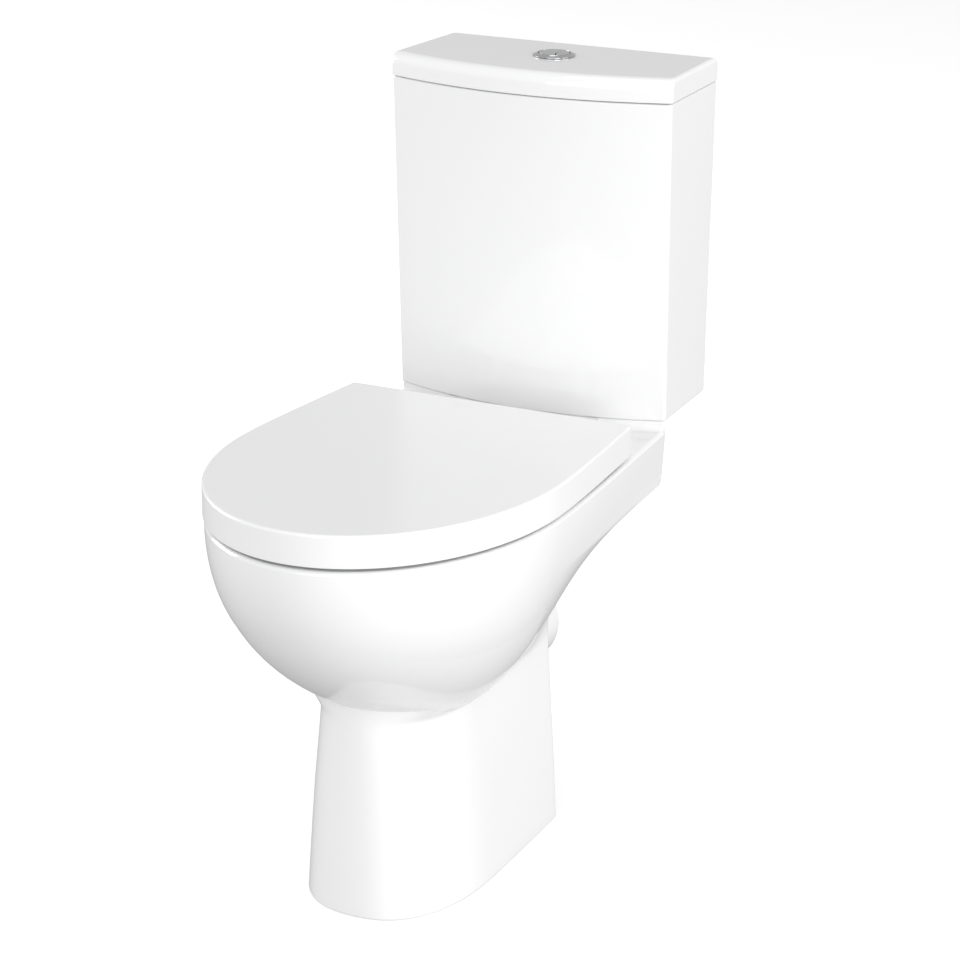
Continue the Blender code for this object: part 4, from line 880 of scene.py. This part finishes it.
    def flush_horn(self) -> list[Piece]:
        """Housing of the valve's tail and of the duct forward to the bowl."""
        shelf_under = self.shelf_height - self.deck_thickness
        duct_low = shelf_under - self.horn_drop
        duct_high = self.rim_height - self.deck_thickness + 0.006
        half, middle, side = self.horn_half_width, self.coupling_reach, self.duct_half_width
        horn = plain_block("flush_horn", at(-half, middle + half, duct_low),
                           at(half, middle - half, shelf_under + 0.004), 0.010)
        duct = plain_block("flush_duct", at(-side, self.bowl_rear_reach - 0.010, duct_low + 0.0005),
                           at(side, middle + 0.03, duct_high), 0.008)
        return [horn, duct]

    def flush_way(self) -> list[Piece]:
        """Stepped recess for the nut and the valve's tail, and the duct forward to the bowl."""
        duct_top = self.shelf_height - self.deck_thickness - 0.008
        duct_low = duct_top - 0.022
        floor, top = self.shelf_height - self.nut_recess_depth, self.shelf_height + 0.01
        well = turned("flush_well", at(0, self.coupling_reach, 0),
                      [(0, duct_low), (self.inlet_radius, duct_low), (self.inlet_radius, floor),
                       (self.nut_recess_radius, floor), (self.nut_recess_radius, top), (0, top)])
        half = self.duct_bore_half_width
        duct = plain_block("flush_duct_hollow",
                           at(-half, self.bowl_rear_reach - 0.009, duct_low + 0.001),
                           at(half, self.coupling_reach - 0.004, duct_top))
        return [well, duct]

    def bolt_holes(self) -> list[Piece]:
        """Holes of the cistern's bolts in the shelf and of the seat's bolts in the deck."""
        low, high = self.rim_height - 0.044, self.shelf_height + 0.026
        bolts = (("coupling", self.coupling_half_spacing, self.coupling_reach,
                  self.coupling_hole_radius),
                 ("seat", self.seat_bolt_half_spacing, self.seat_bolt_reach, self.seat_hole_radius))
        return [turned(f"{name}_hole_{side.tag}", at(side.value * x, reach, 0),
                       [(0, low), (radius, low), (radius, high), (0, high)], 24)
                for side in Side for name, x, reach, radius in bolts]

    def build(self) -> Piece:
        """Model the pan.

        Returns:
            The finished pan.
        """
        pan = self.skin()
        combine(pan, Cut.AWAY, self.pedestal_hollow(), self.rear_hollow())
        combine(pan, Cut.JOIN, loft("bowl_body", self.bowl_rings(self.wall - 0.001)),
                self.trap_tube("trap_body", self.trap_bore + self.trap_wall), self.spigot(),
                self.shelf_front(), self.shelf_rear(), *self.flush_horn())
        combine(pan, Cut.AWAY, self.bowl_hollow(),
                self.trap_tube("trap_hollow", self.trap_bore, 0.01),
                *self.flush_way(), *self.bolt_holes())
        CHINA.dress(smooth(pan))
        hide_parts("pan")
        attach(pan, "toilet")
        return pan


# ================================================================ cistern and lid
@dataclass
class Cistern:
    """Vitreous china tank with a bowed front, and its lift-off lid."""

    half_width_top: float = 0.15825
    half_width_bottom: float = 0.15535
    half_width_rear: float = 0.15295
    corner_reach_top: float = 0.1344
    corner_reach_bottom: float = 0.1224
    bow: float = 0.030
    bottom: float = field(default_factory=lambda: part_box("cistern")[0].z)
    top: float = field(default_factory=lambda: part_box("cistern")[1].z)
    wall: float = 0.009
    corner_radius: float = 0.0045
    foot_radius: float = 0.0018
    mouth_edge: float = 0.0015              # rounding of the tank's upper edges
    floor_fillet: float = 0.010
    valve_hole_radius: float = 0.0303
    inlet_x: float = -0.112
    inlet_reach: float = 0.066
    inlet_hole_radius: float = 0.0103
    bolt_half_spacing: float = 0.075
    bolt_hole_radius: float = 0.0048
    lid_overhang: float = 0.001
    front_roll: float = 0.0120
    side_roll: float = 0.0048
    rear_roll: float = 0.0105
    seam: float = 0.0010                    # height of the gap that shows under the lid
    seam_depth: float = 0.0045
    lid_bottom: float = field(default_factory=lambda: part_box("cistern")[1].z + AIR)
    lid_top: float = field(default_factory=lambda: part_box("cistern_lid")[1].z)
    lid_edge: float = 0.0006
    lid_wall: float = 0.008
    lip_depth: float = 0.010
    valve_reach: float = 0.075
    sleeve_radius: float = 0.0195

    def bowed(self, front_half: float, rear_half: float, corner_reach: float, rear: float,
              front_radius: float, rear_radius: float) -> Outline:
        """Plan outline with a bowed front, nearly straight sides and a flat rear."""
        steps = 32
        slope = math.atan(2 * self.bow / front_half)
        usable = front_half - front_radius * (1 - math.sin(slope))
        slope = math.atan(2 * self.bow * usable / front_half ** 2)
        points = []
        for i in range(steps + 1):
            x = usable * i / steps
            points.append((x, corner_reach + self.bow * (1 - (x / front_half) ** 2)))
        turns = 9
        centre = (front_half - front_radius, points[-1][1] - front_radius * math.cos(slope))
        for i in range(1, turns + 1):
            angle = mix(slope, math.pi / 2, i / turns)
            points.append((centre[0] + front_radius * math.sin(angle),
                           centre[1] + front_radius * math.cos(angle)))
        start = points[-1]
        side_steps = 4
        for i in range(1, side_steps):
            share = i / side_steps
            points.append((mix(start[0], rear_half, share),
                           mix(start[1], rear + rear_radius, share)))
        points += corner(rear_half, rear, rear_radius, 6)
        points += rear_edge(rear_half - rear_radius, rear, 6)
        return mirrored(points)

    def outline(self, z: float, inset: float = 0.0) -> Outline:
        """Outline of the cistern at a height: it tapers a little downwards."""
        share = (z - self.bottom) / (self.top - self.bottom)
        front_half = mix(self.half_width_bottom, self.half_width_top, share) - inset
        rear_half = mix(self.half_width_rear - 0.003, self.half_width_rear, share) - inset
        corner_reach = mix(self.corner_reach_bottom, self.corner_reach_top, share) - inset
        radius = max(self.corner_radius - inset, 0.0015)
        return self.bowed(front_half, rear_half, corner_reach, max(inset, 0.0), radius, radius)

    def shelf_outline(self, inset: float, flare: float) -> Outline:
        """Outline of the pan's raised shelf, just inside the foot of the cistern.

        Args:
            inset: how far it is moved inwards all round.
            flare: how far its front alone is moved forward.

        Returns:
            The outline.
        """
        setback = 0.0008
        half = self.half_width_bottom - setback - inset
        return self.bowed(half, half - 0.0012, self.corner_reach_bottom - setback - inset + flare,
                          0.115 + inset, 0.0035, 0.003)

    def ring(self, z: float, inset: float = 0.0, level: float | None = None) -> Ring:
        """Outline of the cistern as points in space."""
        return raised(self.outline(z, inset), z if level is None else level)

    def tank(self) -> Piece:
        """Tank, open at the top, with its holes in the floor."""
        low, high = self.bottom, self.top
        foot, mouth = quarter_round(self.foot_radius, 6), quarter_round(self.mouth_edge, 3)
        rings = [self.ring(low, inset, level=low + drop) for inset, drop in reversed(foot)]
        rings += [self.ring(mix(low + self.foot_radius, high - self.mouth_edge, i / 12))
                  for i in range(1, 13)]
        rings += [self.ring(high, inset, level=high - drop) for inset, drop in mouth[1:]]
        rings += [self.ring(high, self.wall - inset, level=high - drop)
                  for inset, drop in reversed(mouth)]
        floor, fillet = low + self.wall + 0.001, self.floor_fillet
        rings += [self.ring(mix(high - 2 * self.mouth_edge, floor + fillet, i / 6), self.wall)
                  for i in range(1, 7)]
        rings += [self.ring(floor, self.wall + fillet - inset, level=floor + fillet - drop)
                  for inset, drop in reversed(quarter_round(fillet, 5)[:-1])]
        tank = loft("cistern_tank", rings)
        holes = [(0.0, self.valve_reach, self.valve_hole_radius),
                 (self.inlet_x, self.inlet_reach, self.inlet_hole_radius)]
        holes += [(side.value * self.bolt_half_spacing, self.valve_reach, self.bolt_hole_radius)
                  for side in Side]
        start, end = low - 0.01, floor + 0.01
        for x, reach, radius in holes:
            combine(tank, Cut.AWAY,
                    turned("floor_hole", at(x, reach, 0),
                           [(0, start), (radius, start), (radius, end), (0, end)], 32))
        CHINA.dress(smooth(tank))
        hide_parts("cistern")
        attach(tank, "toilet")
        return tank

    def lid_ring(self, inset: float, height: float) -> Ring:
        """Outline of the lid, which stands a little proud of the cistern."""
        return raised(self.outline(self.top, inset - self.lid_overhang), height)

    def rolled_ring(self, height: float) -> Ring:
        """Outline of the lid where its top edge rolls over, least of all at the sides."""
        def inset(radius: float) -> float:
            """Inset of a rounded edge of that radius at this height."""
            rise = clamp(1 - (self.lid_top - height) / radius)
            return radius * (1 - math.sqrt(1 - rise * rise))

        front, side, rear = inset(self.front_roll), inset(self.side_roll), inset(self.rear_roll)
        proud = self.lid_overhang
        radius = max(self.corner_radius + proud - side, 0.0015)
        grow = proud - side
        outline = self.bowed(self.half_width_top + grow, self.half_width_rear + grow,
                             self.corner_reach_top + proud - front, rear, radius, radius)
        return raised(outline, height)

    def lid(self) -> Piece:
        """Lift-off lid, whose top edges roll over, with a lip inside the cistern."""
        edge = self.lid_bottom + self.seam
        rings = [self.lid_ring(self.seam_depth, self.lid_bottom),
                 self.lid_ring(self.seam_depth - 0.0003, edge)]
        rings += [self.lid_ring(inset, edge + drop)
                  for inset, drop in reversed(quarter_round(self.lid_edge, 3))]
        roll = self.lid_top - self.front_roll
        rings += [self.lid_ring(0.0, mix(edge + self.lid_edge, roll, i / 3)) for i in (1, 2, 3)]
        rings += [self.rolled_ring(roll + self.front_roll * math.sin(math.pi / 2 * i / 22))
                  for i in range(1, 23)]
        lid = loft("cistern_cover", rings)
        lip = self.lid_overhang + self.wall + 0.0015
        combine(lid, Cut.JOIN, loft("lid_lip", [
            self.lid_ring(lip + inset, self.lid_bottom - self.lip_depth + drop)
            for inset, drop in reversed(quarter_round(0.0015, 3))]
            + [self.lid_ring(lip, self.lid_bottom + 0.004)]))
        inside, bore = lip + self.lid_wall - 0.002, self.sleeve_radius + 0.0008
        under, over = self.lid_bottom - 0.02, self.lid_top + 0.02
        combine(lid, Cut.AWAY,
                loft("lid_hollow", [self.lid_ring(inside, under),
                                    self.lid_ring(inside, self.lid_bottom + 0.010),
                                    self.lid_ring(inside + 0.003, self.lid_bottom + 0.014),
                                    self.lid_ring(inside + 0.010, self.lid_top - self.lid_wall)]),
                turned("button_hole", at(0, self.valve_reach, 0),
                       [(0, under), (bore, under), (bore, over), (0, over)]))
        CHINA.dress(smooth(lid))
        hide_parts("cistern_lid")
        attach(lid, "lid")
        return lid


# ================================================================ flush buttons
@dataclass
class FlushButtons:
    """Chromed bezel with a round button in two parts, divided by a curve."""

    centre_reach: float = 0.075
    lid_top: float = field(default_factory=lambda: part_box("cistern_lid")[1].z)
    radius: float = 0.0163
    rim_radius: float = 0.0222
    bezel_height: float = 0.0030
    groove: float = 0.0005
    sleeve_radius: float = 0.0195
    thickness: float = 0.0055
    split_x: float = 0.0035
    split_radius: float = 0.020
    split_gap: float = 0.00025
    split_flare: float = 0.0005             # widening of the gap at the top
    edge: float = 0.0006
    crown: float = 0.0002

    def bezel(self) -> Piece:
        """Ring on the lid, dished between its edges, with its sleeve through the lid."""
        seat = self.lid_top + AIR
        bore = self.radius + self.groove
        bottom = seat - 0.030
        crest = bore + 0.0007
        profile = [(bore, bottom), (self.sleeve_radius, bottom), (self.sleeve_radius, seat),
                   (self.rim_radius - 0.0012, seat), (self.rim_radius - 0.0008, seat + 0.0003),
                   (self.rim_radius, seat + 0.0004), (self.rim_radius, seat + 0.0008)]
        steps = 12
        for i in range(steps + 1):
            share = i / steps
            profile.append((mix(self.rim_radius - 0.0003, crest, share),
                            seat + mix(0.0011, self.bezel_height, share ** 1.7)))
        top = seat + self.bezel_height
        profile += [(bore + 0.0002, top - 0.0001), (bore, top - 0.0005)]
        ring = turned("flush_bezel", at(0, self.centre_reach, 0), profile, 128)
        return self.finish(ring, "button_bezel", "lid")

    def part(self, side: Side) -> Piece:
        """One part of the button, on its own side of the dividing curve."""
        top = self.lid_top + AIR + self.bezel_height + 0.0002
        bottom = top - self.thickness
        profile = [(0, bottom), (self.radius, bottom)]
        profile += [(self.radius - inset, top - self.crown - drop)
                    for inset, drop in quarter_round(self.edge, 5)]
        steps = 8
        for i in range(1, steps):
            share = i / steps
            profile.append(((self.radius - self.edge) * (1 - share),
                            top - self.crown * (1 - share) ** 2))
        profile.append((0, top))
        node = "full_flush_button" if side is Side.LEFT else "half_flush_button"
        disc = turned(f"{node}_cap", at(0, self.centre_reach, 0), profile, 96)
        radius = self.split_radius - side.value * self.split_gap
        flared = radius - side.value * self.split_flare
        low, high = bottom - 0.01, top + 0.01
        shoulder = top - self.crown - 0.0007
        tool = turned("divider", at(self.split_x + self.split_radius, self.centre_reach, 0),
                      [(0, low), (radius, low), (radius, shoulder), (flared, top), (flared, high),
                       (0, high)], 160)
        combine(disc, Cut.AWAY if side is Side.LEFT else Cut.KEEP, tool)
        return self.finish(disc, node, "full_button" if side is Side.LEFT else "half_button")

    def finish(self, piece: Piece, node: str, body: str) -> Piece:
        """Chrome a piece and hang it on its body."""
        CHROME.dress(smooth(piece, 30))
        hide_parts(node)
        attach(piece, body)
        return piece

    def build(self) -> list[Piece]:
        """Bezel and both parts of the button."""
        return [self.bezel(), self.part(Side.LEFT), self.part(Side.RIGHT)]


# ================================================================ seat
@dataclass
class Seat:
    """Wrap-over cover and the ring under it, on two hinge posts."""

    half_width: float = field(default_factory=lambda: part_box("seat_cover")[1].x)
    nose_reach: float = field(default_factory=lambda: reach_of(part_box("seat_cover")[0].y))
    widest_reach: float = 0.4213
    rear_half_width: float = 0.1614
    rear_reach: float = 0.2206
    bottom: float = field(default_factory=lambda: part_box("seat_cover")[0].z)
    cover_top: float = field(default_factory=lambda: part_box("seat_cover")[1].z)
    cover_wall: float = 0.0050
    cover_edge: float = 0.0030
    skirt_edge: float = 0.0010
    corner_radius: float = 0.0036
    ring_setback: float = 0.0085
    ring_bottom: float = field(default_factory=lambda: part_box("seat_ring")[0].z)
    ring_thickness: float = 0.018
    ring_under_edge: float = 0.0025
    ring_outer_edge: float = 0.0080
    ring_inner_edge: float = 0.0100
    ring_half_opening: float = 0.108
    ring_front_width: float = 0.062
    ring_opening_rear: float = 0.312
    hinge_reach: float = 0.203
    hinge_height: float = 0.430
    hinge_half_spacing: float = 0.0775
    knuckle_radius: float = 0.0085
    pin_radius: float = 0.003
    lug_width: float = 0.014
    knuckle_width: float = 0.0115

    def outline(self, inset: float, rear: float | None = None) -> Outline:
        """Plan outline of the cover, moved inwards by the inset."""
        half, rear_half = self.half_width - inset, self.rear_half_width - inset
        rear_reach = self.rear_reach + inset if rear is None else rear
        radius = max(self.corner_radius - inset * 0.5, 0.0020)
        points = front_curve(half, self.widest_reach, self.nose_reach - inset, 2.0, 40)
        points += side_curve(half, self.widest_reach, rear_half, rear_reach + radius, 12)
        points += corner(rear_half, rear_reach, radius, 6)
        points += rear_edge(rear_half - radius, rear_reach, 8)
        return mirrored(points)

    def ring_at(self, inset: float, z: float, rear: float | None = None) -> Ring:
        """Outline of the seat as points in space."""
        return raised(self.outline(inset, rear), z)

    def knuckle(self, x_range: tuple[float, float], arm: Outline) -> list[Piece]:
        """Hinge knuckle along X and its arm, whose side outline is (reach, z) pairs."""
        centre = at(0, self.hinge_reach, self.hinge_height)
        profile = rounded_profile(0.0, self.knuckle_radius, x_range[0], x_range[1], 0.0012)
        barrel = turned("knuckle", centre, profile, 40, across=True)
        arm_rings = [[at(x, reach, z) for reach, z in arm] for x in x_range]
        return [barrel, loft("knuckle_arm", arm_rings)]

    def knuckle_span(self, side: Side, inner: bool) -> tuple[float, float]:
        """X range of a knuckle: the cover's is inside the post, the ring's is outside it."""
        direction = -1 if inner else 1
        start = self.hinge_half_spacing + direction * (self.lug_width / 2 + 2 * AIR)
        end = start + direction * self.knuckle_width
        low, high = sorted((side.value * start, side.value * end))
        return low, high

    def pin_hole(self) -> Piece:
        """Bore of both hinges, right through every knuckle."""
        radius = self.pin_radius + 0.0004
        return turned("pin_hole", at(0, self.hinge_reach, self.hinge_height),
                      [(0, -0.2), (radius, -0.2), (radius, 0.2), (0, 0.2)], 24, across=True)

    def cover(self) -> Piece:
        """Flat top with a rounded edge, a skirt down past the ring, open at the rear."""
        low, top = self.bottom, self.cover_top
        skirt, edge = quarter_round(self.skirt_edge, 3), quarter_round(self.cover_edge, 9)
        rings = [self.ring_at(inset, low + drop) for inset, drop in reversed(skirt)]
        rings += [self.ring_at(0.0, mix(low + self.skirt_edge, top - self.cover_edge, i / 4))
                  for i in range(1, 5)]
        rings += [self.ring_at(inset, top - drop) for inset, drop in edge[1:]]
        cover = loft("toilet_seat_cover", rings)
        inside = top - self.cover_wall
        rear = self.rear_reach - 0.02
        hollow = [self.ring_at(self.cover_wall, low - 0.01, rear)]
        hollow += [self.ring_at(self.cover_wall + inset, inside - drop, rear)
                   for inset, drop in quarter_round(0.003, 4)]
        combine(cover, Cut.AWAY, loft("cover_hollow", hollow))
        arm_front = self.rear_reach + 0.014
        arm = [(self.hinge_reach - 0.0040, self.hinge_height + 0.0050),
               (self.hinge_reach + 0.0070, self.hinge_height - 0.002),
               (arm_front, inside - 0.0030), (arm_front, inside + 0.002),
               (self.rear_reach + 0.001, inside + 0.002)]
        for side in Side:
            combine(cover, Cut.JOIN, *self.knuckle(self.knuckle_span(side, True), arm))
        combine(cover, Cut.AWAY, self.pin_hole())
        return self.finish(cover, "seat_cover", "cover")

    def ring(self) -> Piece:
        """Seat ring with a rounded section and its two hinge knuckles."""
        low, high = self.ring_bottom, self.ring_bottom + self.ring_thickness
        under = quarter_round(self.ring_under_edge, 4)
        rings = [self.ring_at(self.ring_setback + inset, low + drop)
                 for inset, drop in reversed(under)]
        rings += [self.ring_at(self.ring_setback + inset, high - drop)
                  for inset, drop in quarter_round(self.ring_outer_edge, 9)]
        ring = loft("toilet_seat_ring", rings)
        nose = self.nose_reach - self.ring_front_width
        centre = mix(self.ring_opening_rear, nose, 0.45)

        def mouth(grow: float, z: float) -> Ring:
            """Ring of the seat's opening."""
            return raised(oval(self.ring_half_opening + grow, centre, nose + grow,
                               self.ring_opening_rear - grow), z)

        opening = [mouth(0.0022, low - 0.001)]
        opening += [mouth(inset, low + drop) for inset, drop in reversed(under[:-1])]
        opening += [mouth(inset, high - drop)
                    for inset, drop in quarter_round(self.ring_inner_edge, 10)[:-1]]
        opening.append(mouth(self.ring_inner_edge * 0.94, high + 0.001))
        combine(ring, Cut.AWAY, loft("ring_opening", opening))
        arm_front = self.rear_reach + self.ring_setback + 0.006
        arm = [(self.hinge_reach, self.hinge_height - 0.0080), (arm_front, low + 0.0025),
               (arm_front, high - 0.004), (self.hinge_reach, self.hinge_height + 0.0075)]
        for side in Side:
            combine(ring, Cut.JOIN, *self.knuckle(self.knuckle_span(side, False), arm))
        combine(ring, Cut.AWAY, self.pin_hole())
        return self.finish(ring, "seat_ring", "ring")

    def finish(self, piece: Piece, node: str, body: str) -> Piece:
        """Dress a moulding and hang it on its body."""
        SEAT_PLASTIC.dress(smooth(piece))
        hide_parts(node)
        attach(piece, body)
        return piece

    def build(self) -> list[Piece]:
        """Ring and cover."""
        return [self.ring(), self.cover()]


# ================================================================ pieces kept from the frame
@dataclass
class KeptPieces:
    """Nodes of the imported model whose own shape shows, each in its finish."""

    finishes: dict[str, Finish] = field(default_factory=lambda: {
        "chrome": CHROME, "valve_plastic": VALVE_PLASTIC, "coloured_plastic": GREY_PLASTIC,
        "rod_plastic": RED_PLASTIC, "rubber": RUBBER, "steel": STEEL, "nylon": NYLON,
        "china": CHINA, "seat_plastic": SEAT_PLASTIC})

    def dress(self) -> int:
        """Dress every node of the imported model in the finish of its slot.

        Returns:
            How many were dressed.
        """
        slots = {part["node"]: part["material_slot"] for part in frame["record"]["subparts"]}
        for name, node in frame["nodes"].items():
            self.finishes[slots[name]].dress(node)
        return len(slots)


# ================================================================ studio
@dataclass
class Studio:
    """Pale floor, soft light from all round and a long lens."""

    camera_place: tuple[float, float, float] = (1.27284, -2.47653, 1.36677)
    azimuth: float = 26.4295
    elevation: float = 19.1775
    roll: float = 0.3337
    lens: float = 109.42
    sensor: float = 36.0
    sky_strength: float = 0.57
    under_share: float = 0.76               # brightness from straight below
    floor_glow: float = 0.27
    lamp_distance: float = 7.0
    lamp_size: float = 4.0

    def camera(self) -> None:
        """Camera that looks down at the toilet from the front right."""
        azimuth, elevation = math.radians(self.azimuth), math.radians(self.elevation)
        roll = math.radians(self.roll)
        right = Vector((math.cos(azimuth), math.sin(azimuth), 0))
        forward = -Vector((math.sin(azimuth) * math.cos(elevation),
                           -math.cos(azimuth) * math.cos(elevation), math.sin(elevation)))
        up = right.cross(forward)
        right, up = (math.cos(roll) * right + math.sin(roll) * up,
                     -math.sin(roll) * right + math.cos(roll) * up)
        turn = Matrix((right, up, -forward)).transposed().to_4x4()
        bpy.ops.object.camera_add()
        camera = bpy.context.active_object
        camera.name = "camera"
        camera.matrix_world = Matrix.Translation(self.camera_place) @ turn
        camera.data.lens = self.lens
        camera.data.sensor_width = self.sensor
        bpy.context.scene.camera = camera

    def floor(self) -> None:
        """Large pale floor."""
        bpy.ops.mesh.primitive_plane_add(size=60.0, location=(0, 0, 0))
        floor = bpy.context.active_object
        floor.name = "studio_floor"
        material = bpy.data.materials.new("pale_floor")
        material.use_nodes = True
        shader = material.node_tree.nodes["Principled BSDF"]
        shader.inputs["Base Color"].default_value = (0.93, 0.93, 0.93, 1.0)
        shader.inputs["Roughness"].default_value = 0.9
        shader.inputs["Specular IOR Level"].default_value = 0.0
        shader.inputs["Emission Color"].default_value = (1.0, 1.0, 1.0, 1.0)
        shader.inputs["Emission Strength"].default_value = self.floor_glow
        floor.data.materials.append(material)
        floor.visible_diffuse = False
        floor.visible_glossy = False
        floor.visible_shadow = False

    def sky(self) -> None:
        """Even pale surroundings, dimmer from below."""
        world = bpy.data.worlds.new("studio")
        world.use_nodes = True
        bpy.context.scene.world = world
        tree = world.node_tree
        backdrop = tree.nodes["Background"]
        backdrop.inputs["Strength"].default_value = self.sky_strength
        place = tree.nodes.new("ShaderNodeTexCoord")
        split = tree.nodes.new("ShaderNodeSeparateXYZ")
        tree.links.new(place.outputs["Generated"], split.inputs["Vector"])
        shade = tree.nodes.new("ShaderNodeMapRange")
        shade.inputs["From Min"].default_value = -0.5
        shade.inputs["From Max"].default_value = 0.0
        shade.inputs["To Min"].default_value = self.under_share
        shade.inputs["To Max"].default_value = 1.0
        tree.links.new(split.outputs["Z"], shade.inputs["Value"])
        tree.links.new(shade.outputs["Result"], backdrop.inputs["Color"])

    def lamp(self, name: str, azimuth: float, elevation: float, power: float) -> None:
        """Square soft light that looks at the middle of the toilet.

        Args:
            name: name of the light.
            azimuth: degrees from the front towards the right.
            elevation: degrees above level.
            power: watts.
        """
        turn, rise = math.radians(azimuth), math.radians(elevation)
        aim = Vector((0, 0, 0.4))
        towards = Vector((math.sin(turn) * math.cos(rise), -math.cos(turn) * math.cos(rise),
                          math.sin(rise)))
        place = aim + self.lamp_distance * towards
        bpy.ops.object.light_add(type="AREA", location=place)
        lamp = bpy.context.active_object
        lamp.name = name
        lamp.data.shape = "SQUARE"
        lamp.data.size = self.lamp_size
        lamp.data.energy = power
        lamp.rotation_euler = (aim - place).to_track_quat("-Z", "Y").to_euler()
        lamp.visible_camera = False

    def build(self) -> None:
        """Set up everything round the toilet."""
        select_only()
        self.floor()
        self.sky()
        self.lamp("key_light", azimuth=45, elevation=10, power=236)
        self.lamp("right_light", azimuth=90, elevation=12, power=172)
        self.lamp("left_light", azimuth=270, elevation=10, power=258)
        self.lamp("front_light", azimuth=0, elevation=10, power=60)
        self.lamp("top_light", azimuth=0, elevation=89, power=58)
        self.camera()
        bpy.context.scene.view_settings.view_transform = "Standard"


def main() -> None:
    """Build the toilet piece by piece, dress it and light it."""
    logging.basicConfig(level=logging.INFO, format="%(name)s: %(message)s")
    cistern = Cistern()
    makers: list[Callable[[], object]] = [Pan().build, cistern.tank, cistern.lid,
                                          FlushButtons().build, Seat().build]
    for make in makers:
        made = make()
        for piece in made if isinstance(made, list) else [made]:
            LOG.info("%s has %d faces", piece.name, len(piece.data.polygons))
    LOG.info("dressed %d kept pieces", KeptPieces().dress())
    Studio().build()


if __name__ == "__main__":
    main()
